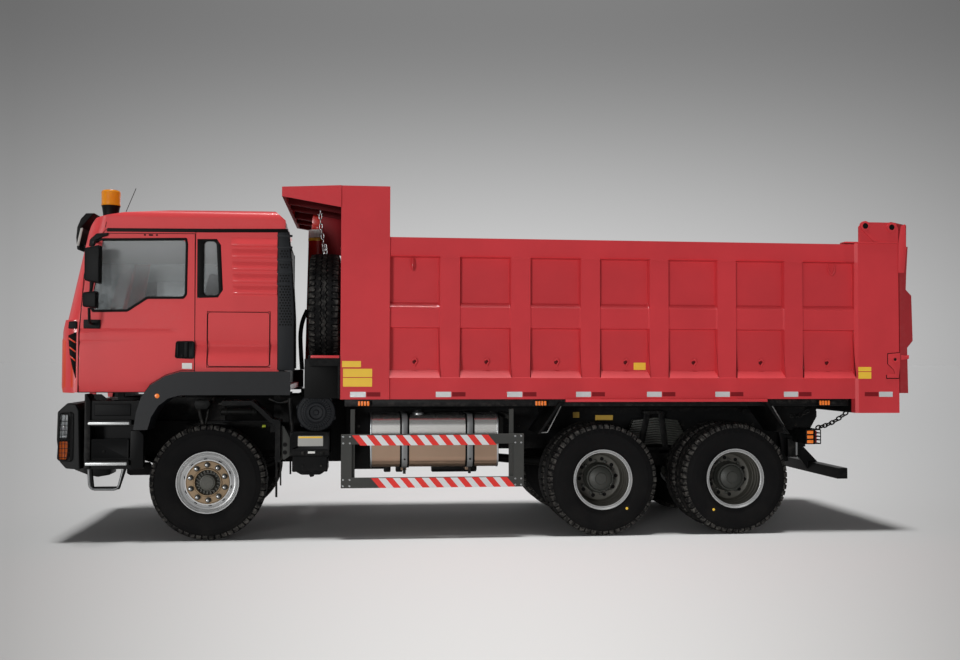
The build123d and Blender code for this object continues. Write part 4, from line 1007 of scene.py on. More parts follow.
# ------------------------------------------------------------------------- cab
@dataclass
class CabShell:
    """The tilting cab's body panels and everything fixed to them."""

    carrier: Carrier
    face: float = 1.200
    roof_seam: float = 2.962
    groove_top: float = 1.913
    groove_deepest: float = 1.862
    groove_foot: float = 1.733
    groove_depth: float = 0.028
    quarter_window: Outline = ((-0.122, 2.310), (0.152, 2.320), (0.112, 2.881), (-0.126, 2.878))
    quarter_pane: Outline = ((-0.046, 2.335), (0.094, 2.338), (0.066, 2.852), (-0.050, 2.852))
    locker: Outline = ((-0.010, 1.655), (0.576, 1.655), (0.576, 2.180), (-0.010, 2.180))
    cowl: Outline = ((0.652, 1.622), (0.806, 1.622), (0.801, 2.208), (0.779, 2.596), (0.748, 2.950),
                     (0.646, 2.944))
    louvre_tops: tuple[float, ...] = (2.903, 2.792, 2.672, 2.554, 2.440)
    louvre_height: float = 0.098

    def build(self) -> None:
        """Make every piece of the cab."""
        carry = self.carrier
        carry.panel("cab_floor", CAB_RED, "cab_paint", 0.004)
        carry.panel("cab_roof", CAB_RED, "cab_paint", 0.0, 25.0, shape=self.draw_in_right)
        carry.panel("cab_front_panel", CAB_RED, "cab_paint", 0.003)
        carry.panel("cab_side_panels", CAB_RED, "cab_paint", 0.003, shape=self.shape_sides)
        carry.panel("cab_rear_wall", PLASTIC_BLACK, "black_plastic", 0.006, shape=self.narrow_corner)
        carry.panel("wheel_arches", ARCH_PLASTIC, "trim_plastic", 0.014)
        self.visor()
        carry.panel("dashboard", CABIN_GREY, "trim_plastic", 0.02)
        carry.coat("cab_glass", CABIN_GLASS)
        for side in SIDE_SIGN:
            carry.panel(f"locker_lid_{side}", CAB_RED, "cab_paint", 0.003, shape=self.carve_groove)
        self.drip_band()
        self.quarter_light()
        self.louvres()
        self.cowls()
        self.deflectors()
        self.front_details()
        self.arch_lamp()
        self.beacon()
        self.snorkel()

    def draw_in_right(self, piece: Object) -> None:
        """Draw the right side's rear edge forward."""
        shift(piece, lambda p, n: p.y > 1.10 and p.x > 0.640 + STATION, (-0.105, 0, 0))

    def shape_sides(self, panel: Object) -> None:
        """Press the grooves in and draw the right side's rear edge forward."""
        self.carve_groove(panel)
        shift(panel, lambda p, n: p.y > 1.10 and p.x > 0.600 + STATION, (-0.040, 0, 0))

    def narrow_corner(self, wall: Object) -> None:
        """Draw the right corner in, where the cowl of the left side has no twin."""
        shift(wall, lambda p, n: p.y > 1.10 and p.x > 0.672 + STATION, (-0.120, 0, 0))

    def visor(self) -> None:
        """Slim shade over the windscreen, with a grey strip at each end painted as a reflection, and its
        brackets.
        """
        outline = [(-1.204, 3.135), (-1.122, 3.137), (-1.178, 3.072), (-1.243, 2.996), (-1.252, 2.880),
                   (-1.251, 2.772), (-1.282, 2.782), (-1.293, 2.899), (-1.284, 3.000), (-1.252, 3.080)]
        blade = plate("sun_visor_blade", outline, Plane.SIDE, -0.950, 0.950)
        stays = [soften(block("stay", at(-1.250, y, 2.812), at(-1.050, y + 0.036, 2.838)), 0.006)
                 for y in (-0.900, -0.300, 0.264, 0.864)]
        dressed(joined("sun_visor_blade", [soften(blade, 0.008, 3), *stays]), "cab", PLASTIC_BLACK,
                "black_plastic",
                "sun_visor")
        # Painted reflection: a flat grey strip on each end of the black visor stands for the light it
        # reflects.
        strip = plate("visor_painted_reflection", [(-1.286, 2.815), (-1.262, 2.815), (-1.226, 2.990), (-1.250, 2.990)],
                      Plane.SIDE,
                      -0.950, -0.958, 0.008)
        pair(soften(strip, 0.002), "cab", LABEL_GREY, "lamp_glass")

    def snorkel(self) -> None:
        """Intake hose that runs down behind the cab."""
        hose = pipe("snorkel_hose", [at(0.915, -0.900, 2.218), at(0.866, -0.900, 2.108),
                                     at(0.848, -0.900, 1.978),
                                     at(0.855, -0.900, 1.803), at(0.868, -0.900, 1.629)], 0.022, 0.05)
        dressed(hose, "chassis", PLASTIC_BLACK, "black_plastic")

    def carve_groove(self, panel: Object) -> None:
        """Press the long shallow groove into a side panel or a locker's lid."""
        for height in (self.groove_top, self.groove_deepest, self.groove_foot):
            cut(panel, (0, 0, height), (0, 0, 1))
        for sign in SIDE_SIGN.values():
            shift(panel, lambda p, n: abs(p.z - self.groove_deepest) < 0.001
                  and p.y * sign > self.face - 0.01,
                  (0, -sign * self.groove_depth, 0))

    def drip_band(self) -> None:
        """Black band between the roof and the walls, the roof's seam and the locker lid's dark gap."""
        near, far = -self.face + 0.004, -self.face - 0.007
        band = plate("drip_band", [(-0.949, 2.930), (0.0, 2.937), (0.745, 2.950), (0.738, 2.984),
                                   (0.0, 2.972), (-0.945, 2.963)], Plane.SIDE, near, far)
        band = soften(band, 0.003)
        twin = mirrored(band, "drip_band_right")
        self.draw_in_right(twin)
        for piece in (band, twin):
            dressed(piece, "cab", SEAL, "black_plastic")
        seam = pipe("roof_seam", [at(-0.961, -self.face + 0.001, 2.969), at(-0.952, -1.197, 3.030),
                                  at(-0.942, -1.150, 3.081)], 0.0035, 0.01)
        pair(seam, "cab", SEAL, "black_plastic")
        gap = frame_ring("locker_gap", self.locker, 0.006, -self.face + 0.004, -self.face - 0.0008, 0.03)
        pair(gap, "cab", SEAL, "black_plastic")

    def quarter_light(self) -> None:
        """Black surround and seal of the small window behind the door."""
        surround = plate("quarter_surround", self.quarter_window, Plane.SIDE, -self.face + 0.001,
                         -self.face + 0.016,
                         0.036)
        pane = plate("pane", self.quarter_pane, Plane.SIDE, -self.face - 0.05, -self.face + 0.06, 0.036)
        finish_modifier(surround, "BOOLEAN", operation="DIFFERENCE", object=pane, solver="EXACT")
        bpy.data.objects.remove(pane)
        pair(soften(surround, 0.002), "cab", SEAL, "black_plastic")

    def louvres(self) -> None:
        """Row of pressed ribs behind the quarter light, sharp below and faded at the front end."""
        ribs = []
        for number, top in enumerate(self.louvre_tops):
            front, rear = 0.206 + 0.005 * number, 0.640
            section = [(-self.face + 0.003, top), (-self.face - 0.002, top - 0.016),
                       (-self.face - 0.016, top - 0.068),
                       (-self.face - 0.019, top - 0.080), (-self.face - 0.015, top - 0.090),
                       (-self.face + 0.003, top - self.louvre_height)]
            rib = plate(f"louvre_{number}", section, Plane.CROSS, front, rear)
            for place in (front + 0.022, front + 0.06):
                cut(rib, at(place, 0, 0), (1, 0, 0))
            for place, share in ((front, 0.013), (front + 0.022, 0.006)):
                shift(rib, lambda p, n: abs(p.x - place - STATION) < 0.001 and p.y < -self.face - 0.006,
                      (0, share, 0))
            ribs.append(smooth(rib, 50.0))
        pair(joined("side_louvres", ribs), "cab", CAB_RED, "cab_paint")

    def cowls(self) -> None:
        """Perforated black cowl on the cab's rear corner."""
        cowl = plate("corner_cowl", self.cowl, Plane.SIDE, -self.face + 0.004, -self.face - 0.012)
        dressed(soften(cowl, 0.006, 3), "cab", PLASTIC_GREY, "black_plastic")
        bars = [plate(f"cowl_bar_{n}", [(0.640, z), (0.785, z), (0.785, z + 0.022), (0.640, z + 0.022)],
                      Plane.SIDE,
                      -self.face - 0.010, -self.face - 0.019, 0.006) for n, z in enumerate(self.louvre_tops)]
        dressed(soften(joined("cowl_bars", bars), 0.003), "cab", PLASTIC_GREY, "black_plastic")
        # Painted shade: each perforation is a small dark stud on the cowl that stands for the shade seen
        # through the hole.
        holes = []
        for row in range(28):
            height = 2.060 + 0.0262 * row
            if height > 2.36 and any(abs(height - top - 0.011) < 0.021 for top in self.louvre_tops):
                continue
            for column in range(5):
                x = 0.672 + 0.0265 * column + 0.013 * (row % 2)
                if x < 0.788 - 0.06 * (height - 2.05):
                    holes.append(rod("hole", at(x, -self.face - 0.009, height),
                                     at(x, -self.face - 0.0135, height),
                                     0.0095, 6))
        dressed(soften(joined("cowl_holes", holes), 0.001, 1), "cab", SEAL, "black_plastic")

    def deflectors(self) -> None:
        """Red wind deflector around the front corner, with a dark slatted slot beside it."""
        centre_x, centre_y, radius, wall = -1.190, -1.010, 0.193, 0.016
        angles = [math.radians(a) for a in range(184, 262, 6)]
        outer = [(centre_x + radius * math.cos(a), centre_y + radius * math.sin(a)) for a in angles]
        inner = [(centre_x + (radius - wall) * math.cos(a),
                  centre_y + (radius - wall) * math.sin(a)) for a in angles]
        shell = plate("corner_deflector", outer + inner[::-1], Plane.LEVEL, 1.407, 1.975)
        for height in (1.46, 1.90):
            cut(shell, (0, 0, height), (0, 0, 1))
        shift(shell, lambda p, n: p.z > 1.97, (0.012, 0.010, 0))
        shift(shell, lambda p, n: p.z < 1.41, (0.008, 0.006, 0))
        pair(soften(shell, 0.005, 3), "cab", DEFLECTOR_RED, "cab_paint")
        # Painted shade: the slot's dark back plate stands for the shade inside the opening.
        slot = plate("deflector_slot", [(-1.285, 1.947), (-1.214, 1.979), (-1.214, 1.544), (-1.245, 1.647),
                                        (-1.271, 1.771)], Plane.SIDE, -1.1985, -1.2065, 0.006)
        pair(soften(slot, 0.002), "cab", SEAL, "black_plastic")
        fins = [plate(f"fin_{n}", [(-1.280 + 0.008 * n, z + 0.044), (-1.216, z), (-1.216, z - 0.014),
                                   (-1.280 + 0.008 * n, z + 0.026)], Plane.SIDE, -1.205, -1.213)
                for n, z in enumerate((1.885, 1.800, 1.715))]
        pair(soften(joined("deflector_fins", fins), 0.003), "cab", DEFLECTOR_RED, "cab_paint")

    def front_details(self) -> None:
        """Grille bars and wiper arms on the cab's front."""
        bars = []
        for number in range(5):
            low = 1.480 + 0.082 * number
            lean = -1.3565 - 0.004 * number
            bars.append(plate(f"grille_bar_{number}", [(lean + 0.02, low), (lean - 0.013, low + 0.008),
                                                       (lean - 0.015, low + 0.030),
                                                       (lean + 0.02, low + 0.052)],
                              Plane.SIDE, -0.930, 0.930))
        dressed(soften(joined("front_grille", bars), 0.004), "cab", PLASTIC_BLACK, "black_plastic")
        wipers = []
        for y in (-0.62, 0.12):
            arm = pipe("arm", [at(-1.324, y, 2.075), at(-1.300, y + 0.05, 2.170),
                               at(-1.268, y + 0.40, 2.300)], 0.008, 0.02)
            blade = pipe("blade", [at(-1.288, y + 0.12, 2.205), at(-1.262, y + 0.62, 2.330)], 0.007)
            wipers += [arm, blade]
        dressed(joined("wipers", wipers), "cab", PLASTIC_BLACK, "black_plastic")

    def arch_lamp(self) -> None:
        """Round amber marker on the wheel arch."""
        place = at(-0.460, 0, 1.380)
        lens = lathe("arch_marker", [(-1.248, 0.036), (-1.256, 0.036), (-1.262, 0.029), (-1.264, 0.014),
                                     (-1.266, 0.0)],
                     32)
        for obj, finish, slot in ((lens, AMBER_SOLID, "amber_plastic"),
                                  (lathe("arch_marker_bezel", [(-1.247, 0.052), (-1.255, 0.050),
                                                               (-1.257, 0.040),
                                                               (-1.251, 0.035)], 32), PLASTIC_BLACK,
                                                               "black_plastic")):
            obj.data.transform(Matrix.Translation((place.x, 0.013, place.z)))
            pair(smooth(obj), "cab", finish, slot)

    def beacon(self) -> None:
        """Amber beacon on its black foot, and the aerial."""
        centre = at(-0.981, -0.900, 0)
        lens = lathe("beacon_lens", [(3.214, 0.086), (3.224, 0.091), (3.236, 0.088), (3.300, 0.089),
                                     (3.348, 0.091), (3.362, 0.082), (3.370, 0.054), (3.372, 0.0)], 48)
        foot = lathe("beacon_foot", [(3.090, 0.070), (3.125, 0.072), (3.196, 0.082), (3.214, 0.090),
                                     (3.220, 0.082), (3.220, 0.0)], 48)
        for obj, finish, slot, nodes in ((lens, AMBER_LENS, "amber_plastic", ()),
                                         (foot, PLASTIC_BLACK, "black_plastic", ("roof_beacon",))):
            obj.data.transform(Matrix.Translation((centre.x, centre.y,
                                                   0)) @ Matrix.Rotation(math.pi / 2, 4, "X"))
            dressed(smooth(obj), "cab", finish, slot, *nodes)
        core = rod("beacon_core", centre + Vector((0, 0, 3.24)), centre + Vector((0, 0, 3.33)), 0.035, 24)
        dressed(soften(core, 0.006), "cab", AMBER_SOLID, "amber_plastic")
        aerial = pipe("aerial", [at(-0.843, -0.900, 3.150), at(-0.746, -0.900, 3.393)], 0.0032)
        base = lathe("aerial_base", [(0.0, 0.018), (0.012, 0.015), (0.03, 0.008), (0.034, 0.0)], 20)
        base.data.transform(Matrix.Translation(at(-0.845, -0.900,
                                                  3.120)) @ Matrix.Rotation(math.pi / 2, 4, "X"))
        dressed(joined("aerial", [aerial, smooth(base)]), "cab", PLASTIC_BLACK, "black_plastic")


@dataclass
class Doors:
    """Both doors with their glass, mirrors, handles and trim."""

    carrier: Carrier
    face: float = 1.200
    window: Outline = ((-1.100, 2.218), (-1.069, 2.166), (-0.748, 2.173), (-0.567, 2.296), (-0.231, 2.299),
                       (-0.201, 2.341), (-0.196, 2.824), (-0.207, 2.883), (-1.008, 2.866), (-1.066, 2.832),
                       (-1.098, 2.770))
    seam: Outline = ((-1.197, 1.410), (-1.189, 1.979), (-1.154, 2.518), (-1.088, 2.790), (-0.949, 2.917),
                     (-0.130, 2.926), (-0.120, 1.410))
    body: str = "door_{side}_body"

    def build(self) -> None:
        """Make both doors."""
        for side in SIDE_SIGN:
            self.carrier.panel(f"door_{side}", CAB_RED, "cab_paint", 0.003, shape=self.press_creases)
            self.carrier.coat(f"door_glass_{side}", CABIN_GLASS)
        seal = frame_ring("door_seal", self.window, 0.024, -self.face - 0.0015, -self.face + 0.016, 0.014)
        pair(soften(seal, 0.002), self.body, SEAL, "black_plastic")
        gap = frame_ring("door_gap", self.seam, 0.006, -self.face + 0.004, -self.face - 0.0008, 0.008)
        pair(gap, self.body, SEAL, "black_plastic")
        self.handle()
        self.mirrors()
        self.trim()

    def press_creases(self, door: Object) -> None:
        """Press the door's two creases and lean its foot inwards."""
        for x in (-1.196, -0.760, -0.360, -0.215):
            cut(door, at(x, 0, 0), (1, 0, 0))
        for z in (2.016, 2.006, 1.965, 1.902, 1.886, 1.840, 1.519):
            cut(door, (0, 0, z), (0, 0, 1))
        for sign in SIDE_SIGN.values():
            for height, rear, depth in ((2.006, -0.300, 0.006), (1.886, -0.780, 0.010)):
                shift(door, lambda p, n: abs(p.z - height) < 0.001 and p.x < rear + STATION
                      and p.y * sign > self.face - 0.004, (0, -sign * depth, 0))
            shift(door, lambda p, n: p.z < 1.415 and p.y * sign > self.face - 0.004, (0, -sign * 0.016, 0))

    def handle(self) -> None:
        """Recessed black door handle with its grip and lock."""
        shell = plate("handle_shell", [(-0.309, 1.735), (-0.130, 1.728), (-0.130, 1.900), (-0.300, 1.898)],
                      Plane.SIDE,
                      -self.face + 0.004, -self.face - 0.012, 0.022)
        with edit_mode(shell):
            pick(shell, Pick.FACES, lambda p, n: n.y < -0.9)
            bpy.ops.mesh.inset(thickness=0.016)
            bpy.ops.transform.translate(value=(0, 0.010, 0))
        grip = soften(block("grip", at(-0.222, -self.face - 0.019, 1.742), at(-0.186, -self.face - 0.004,
                                                                              1.888)), 0.006, 3)
        edge = soften(block("edge", at(-0.292, -self.face - 0.014, 1.752), at(-0.272, -self.face - 0.002,
                                                                              1.880)), 0.004)
        lock = rod("lock", at(-0.240, -self.face - 0.004, 1.762), at(-0.240, -self.face - 0.014, 1.762),
                   0.011, 20)
        pair(joined("door_handle", [soften(shell, 0.004, 3), grip, edge, soften(lock, 0.002)]), self.body,
             PLASTIC_BLACK, "black_plastic")

    def mirrors(self) -> None:
        """Main mirror, wide-angle mirror and the arm that holds both."""
        heads, panes = [], []
        for name, low, high, bulge in (("main", (-1.098, -1.440, 2.422), (-0.956, -1.292, 2.781), 0.016),
                                       ("wide", (-1.111, -1.430, 2.196), (-0.984, -1.292, 2.354), 0.012)):
            head = block(f"{name}_mirror", at(*low), at(*high))
            middle = (Vector(low) + Vector(high)) / 2 + Vector((STATION, 0, 0))
            with edit_mode(head):
                pick(head, Pick.FACES, lambda p, n: n.x < -0.9)
                bpy.ops.transform.resize(value=(1, 0.72, 0.84), center_override=middle)
                pick(head, Pick.FACES, lambda p, n: n.x > 0.9)
                bpy.ops.mesh.inset(thickness=bulge)
                bpy.ops.transform.translate(value=(-0.030, 0, 0))
            heads.append(soften(head, 0.020, 4, 20.0))
            rear = high[0] - 0.026
            outline = [(low[1] + bulge, low[2] + bulge), (high[1] - bulge, low[2] + bulge),
                       (high[1] - bulge, high[2] - bulge), (low[1] + bulge, high[2] - bulge)]
            panes.append(plate(f"{name}_pane", outline, Plane.CROSS, rear - 0.003, rear, 0.02))
        arm = pipe("mirror_arm", [at(-1.062, -1.205, 2.056), at(-1.062, -1.345, 2.060),
                                  at(-1.064, -1.352, 2.200)], 0.013,
                   0.04)
        stem = pipe("mirror_stem", [at(-1.058, -1.352, 2.30), at(-1.036, -1.352, 2.45)], 0.015)
        top = pipe("mirror_bracket", [at(-1.040, -1.340, 2.740), at(-1.046, -1.320, 2.815),
                                      at(-1.035, -1.210, 2.832)],
                   0.014, 0.03)
        arms = [arm, stem, top]
        for number, side in enumerate(SIDE_SIGN):
            turned = Matrix.Diagonal((1, 1 - 2 * number, 1, 1))
            for piece, finish, slot, nodes in (
                    (joined("mirror_heads", [copied(h, "part") for h in heads + arms]), PLASTIC_BLACK,
                     "black_plastic",
                     (f"door_mirrors_{side}",)),
                    (joined("mirror_panes", [copied(p, "part") for p in panes]), MIRROR, "window_glass", ())):
                piece.data.transform(turned)
                if number:
                    piece.data.flip_normals()
                piece.name = piece.data.name = f"{piece.name}_{side}"
                dressed(piece, self.body.format(side=side), finish, slot, *nodes)
        for piece in heads + arms + panes:
            bpy.data.objects.remove(piece)

    def trim(self) -> None:
        """Mirror base, pillar trim, small covers over the window and the blank label."""
        base = plate("mirror_base", [(-1.146, 2.012), (-0.996, 2.011), (-0.992, 2.096), (-1.146, 2.096)],
                     Plane.SIDE,
                     -self.face + 0.004, -self.face - 0.020, 0.008)
        pair(soften(base, 0.005, 3), self.body, PLASTIC_BLACK, "black_plastic")
        front = plate("mirror_base_front", [(-1.286, 2.010), (-1.206, 2.008), (-1.206, 2.081),
                                            (-1.280, 2.078)],
                      Plane.SIDE, -1.180, -1.214, 0.012)
        pair(soften(front, 0.005, 3), "cab", PLASTIC_BLACK, "black_plastic")
        curve = plate("pillar_trim", [(-1.108, 2.790), (-1.099, 2.852), (-1.039, 2.910), (-0.929, 2.918),
                                      (-0.938, 2.890),
                                      (-0.988, 2.876), (-1.050, 2.842), (-1.082, 2.784)], Plane.SIDE,
                     -self.face + 0.004, -self.face - 0.016, 0.006)
        pair(soften(curve, 0.005, 3), self.body, PLASTIC_BLACK, "black_plastic")
        covers = [plate(f"cover_{n}", [(x - half, 2.896), (x + half, 2.896), (x + half, 2.911),
                                       (x - half, 2.911)],
                        Plane.SIDE, -self.face + 0.002, -self.face - 0.004, 0.006)
                  for n, (x, half) in enumerate(((-0.598, 0.009), (-0.542, 0.020), (-0.487, 0.009)))]
        pair(joined("window_covers", covers), self.body, SEAL, "black_plastic")
        label = plate("door_label", [(-0.242, 1.636), (-0.149, 1.634), (-0.149, 1.690), (-0.242, 1.691)],
                      Plane.SIDE,
                      -self.face + 0.002, -self.face - 0.0015, 0.002)
        dressed(label, "door_left_body", LABEL_WHITE, "cab_paint")


@dataclass
class CabInterior:
    """Padded seats on their frames."""

    floor: float = 1.467
    seat_y: tuple[float, float] = (-0.530, 0.530)

    def build(self) -> None:
        """Make both seats."""
        for number, y in enumerate(self.seat_y):
            side = "left" if number == 0 else "right"
            self.cushion(f"seat_cushion_{side}", at(-0.380, y, self.floor + 0.372), (0.250, 0.245, 0.066),
                         0.0, number)
            self.cushion(f"seat_back_{side}", at(-0.068, y, self.floor + 0.780), (0.066, 0.235, 0.345), 12.0,
                         2)
            pedestal = block(f"seat_pedestal_{side}", at(-0.555, y - 0.165, self.floor),
                             at(-0.205, y + 0.165, self.floor + 0.31))
            with edit_mode(pedestal):
                pick(pedestal, Pick.FACES, lambda p, n: n.z > 0.9)
                bpy.ops.mesh.inset(thickness=0.03)
            dressed(soften(pedestal, 0.012, 3), "cab", CABIN_GREY, "seat_fabric")

    def cushion(self, name: str, centre: Vector, half: Point, lean: float, number: int) -> None:
        """One crowned cushion with sunk seams.

        Args:
            name: Piece name.
            centre: Middle of the cushion.
            half: Half sizes before the crown.
            lean: Backward lean in degrees.
            number: Zero for the piece that stands for the CAD seats.
        """
        pad = block(name, [-v for v in half], half)
        with edit_mode(pad):
            bpy.ops.mesh.select_all(action="SELECT")
            bpy.ops.mesh.subdivide(number_cuts=5)
            bpy.ops.mesh.select_all(action="SELECT")
            bpy.ops.transform.tosphere(value=0.12)
            seams = 0.42
            across = 0 if half[0] > half[2] else 2
            pick(pad, Pick.EDGES, lambda p,
                 n: abs(abs(p.y) - half[1] * seams) < half[1] * 0.12 and abs(n.y) < 0.5)
            bpy.ops.transform.shrink_fatten(value=-0.012)
            pick(pad, Pick.EDGES, lambda p, n: abs(p[across] + half[across] * 0.3) < half[across] * 0.12
                 and abs(n[across]) < 0.5)
            bpy.ops.transform.shrink_fatten(value=-0.010)
        finish_modifier(pad, "SUBSURF", levels=2, render_levels=2)
        pad.data.transform(Matrix.Translation(centre) @ Matrix.Rotation(math.radians(lean), 4, "Y"))
        nodes = ("seats",) if number == 0 else ()
        dressed(smooth(pad, 60.0), "cab", SEAT_CLOTH, "seat_fabric", *nodes)


# --------------------------------------------------------------------- chassis
@dataclass
class FrontEnd:
    """Bumper, lamps behind their mesh guards, and the steps under the doors."""

    carrier: Carrier
    side: float = -1.165
    lamp_x: tuple[float, float] = (-1.382, -1.262)
    lamp_z: tuple[float, float] = (0.768, 1.222)

    def build(self) -> None:
        """Make the truck's front end."""
        carry = self.carrier
        carry.panel("front_bumper", BUMPER_PLASTIC, "trim_plastic", 0.024, 20.0)
        carry.panel("headlamps", LAMP_GLASS, "lamp_glass", 0.012)
        carry.panel("cab_steps", CHASSIS_BLACK, "chassis_paint", 0.006)
        self.corner_lamps()
        self.mesh_guard()
        self.step_boxes()
        self.treads()

    def corner_lamps(self) -> None:
        """Clear lamp over an orange one on the bumper's corner, in a dark housing."""
        (x0, x1), (z0, z1) = self.lamp_x, self.lamp_z
        housing = plate("corner_lamp_housing", [(x0, z0 + 0.02), (x0 + 0.02, z0), (x1 - 0.03, z0),
                                                (x1, z0 + 0.05),
                                                (x1, z1 - 0.06), (x1 - 0.03, z1), (x0 + 0.02, z1)],
                                                Plane.SIDE,
                        self.side + 0.004, self.side - 0.004, 0.012)
        pair(soften(housing, 0.002), "chassis", SEAL, "black_plastic")
        for name, low, high, finish, slot in (("clear", 0.985, 1.200, LAMP_GLASS, "lamp_glass"),
                                              ("orange", 0.790, 0.945, ORANGE_LENS, "amber_plastic")):
            mirror = plate(f"corner_{name}_reflector", [(x0 + 0.02, low), (x1 - 0.035, low),
                                                        (x1 - 0.022, high),
                                                        (x0 + 0.024, high)], Plane.SIDE, self.side - 0.003,
                           self.side - 0.006, 0.012)
            pair(soften(mirror, 0.001), "chassis", BRIGHT_STEEL if name == "clear" else AMBER_SOLID, slot)
            lens = plate(f"corner_{name}_lens", [(x0 + 0.016, low - 0.006), (x1 - 0.03, low - 0.006),
                                                 (x1 - 0.017, high + 0.006), (x0 + 0.02, high + 0.006)],
                                                 Plane.SIDE,
                         self.side - 0.007, self.side - 0.014, 0.014)
            pair(soften(lens, 0.003, 3), "chassis", finish, slot)

    def mesh_guard(self) -> None:
        """Wire guard over the corner lamps: a rounded loop with crossing bars."""
        (x0, x1), (z0, z1) = self.lamp_x, self.lamp_z
        x0, x1, z0, z1, y = x0 - 0.002, x1 + 0.012, z0 - 0.014, z1 + 0.012, self.side - 0.026
        loop = [at(x0 + 0.02, y, (z0 + z1) / 2), at(x0 + 0.02, y, z0 + 0.02), at(x1, y, z0 + 0.01),
                at(x1, y, z1 - 0.01),
                at(x0 + 0.03, y, z1 - 0.01), at(x0 + 0.02, y, (z0 + z1) / 2)]
        bars = [pipe("loop", loop, 0.0065, 0.03)]
        for number in range(9):
            height = z0 + 0.05 + 0.042 * number
            bars.append(pipe(f"cross_{number}", [at(x0 + 0.02, y, height), at(x1, y, height)], 0.003))
        for number in range(1, 4):
            x = x0 + 0.02 + (x1 - x0 - 0.02) * number / 4
            bars.append(pipe(f"upright_{number}", [at(x, y - 0.003, z0 + 0.015), at(x, y - 0.003, z1 - 0.01)],
                             0.003))
        for height in (z0 + 0.06, z1 - 0.06):
            bars.append(pipe("stay", [at(x1, y, height), at(x1 - 0.004, self.side + 0.01, height)], 0.006))
        pair(joined("lamp_guard", bars), "chassis", PLASTIC_BLACK, "chassis_paint")

    def step_boxes(self) -> None:
        """Moulded panels between the treads, with the recovery hole and the bar loop below."""
        upper = plate("step_panel", [(-1.065, 1.187), (-0.726, 1.187), (-0.726, 1.301), (-1.065, 1.301)],
                      Plane.SIDE,
                      -1.086, -1.106, 0.01)
        lower = plate("step_box", [(-1.085, 0.775), (-0.742, 0.775), (-0.742, 0.968), (-1.085, 0.968)],
                      Plane.SIDE,
                      -1.086, -1.112, 0.012)
        with edit_mode(lower):
            pick(lower, Pick.FACES, lambda p, n: n.y < -0.9)
            bpy.ops.mesh.inset(thickness=0.012)
            bpy.ops.transform.translate(value=(0, 0.006, 0))
        # Painted shade: the recovery hole is a dark disc on the step box, standing for the shade inside it.
        hole = rod("hole", at(-0.968, -1.100, 0.849), at(-0.968, -1.1095, 0.849), 0.016, 24)
        pair(joined("step_panels", [soften(upper, 0.006, 3), soften(lower, 0.004, 3)]), "chassis",
             PLASTIC_BLACK,
             "chassis_paint")
        pair(soften(hole, 0.002), "chassis", SEAL, "chassis_paint")
        pillar = plate("step_pillar", [(-1.150, 0.690), (-1.094, 0.690), (-1.094, 1.330), (-1.130, 1.395),
                                       (-1.150, 1.395)], Plane.SIDE, -0.900, -1.120, 0.004)
        flap = plate("step_flap", [(-0.722, 0.672), (-0.598, 0.690), (-0.598, 1.010), (-0.640, 1.052),
                                   (-0.722, 1.052)],
                     Plane.SIDE, -1.112, -1.150, 0.008)
        sump = plate("step_underside", [(-1.250, 0.700), (-1.313, 0.655), (-1.180, 0.600), (-1.090, 0.580),
                                        (-0.975, 0.600), (-0.960, 0.700)], Plane.SIDE, -0.560, -0.820, 0.01)
        pair(joined("step_frames", [soften(piece, 0.006, 3) for piece in (pillar, flap, sump)]), "chassis",
             CHASSIS_BLACK, "chassis_paint")
        loop = pipe("step_loop", [at(-1.114, -1.080, 0.700), at(-1.100, -1.080, 0.494),
                                  at(-0.838, -1.080, 0.490),
                                  at(-0.790, -1.080, 0.700)], 0.0145, 0.045)
        pair(loop, "chassis", STEP_STEEL, "chassis_paint")

    def treads(self) -> None:
        """Serrated metal treads."""
        for number, (x0, x1, z0, z1) in enumerate(((-1.100, -0.722, 1.106, 1.134),
                                                   (-1.122, -0.742, 0.724, 0.754))):
            tread = plate(f"tread_{number}", [(x0, z0), (x1, z0), (x1, z1), (x0, z1)], Plane.SIDE, -1.070,
                          -1.192, 0.006)
            pieces = [soften(tread, 0.004)]
            for count in range(22):
                x = x0 + 0.016 + (x1 - x0 - 0.036) * count / 21
                pieces.append(block("tooth", at(x, -1.190, z1 - 0.002), at(x + 0.007, -1.080, z1 + 0.006)))
                pieces.append(block("rib", at(x, -1.1945, z0 + 0.008), at(x + 0.005, -1.190, z1 - 0.008)))
            pair(joined(f"step_tread_{number}", pieces), "chassis", TREAD_METAL, "chassis_paint")


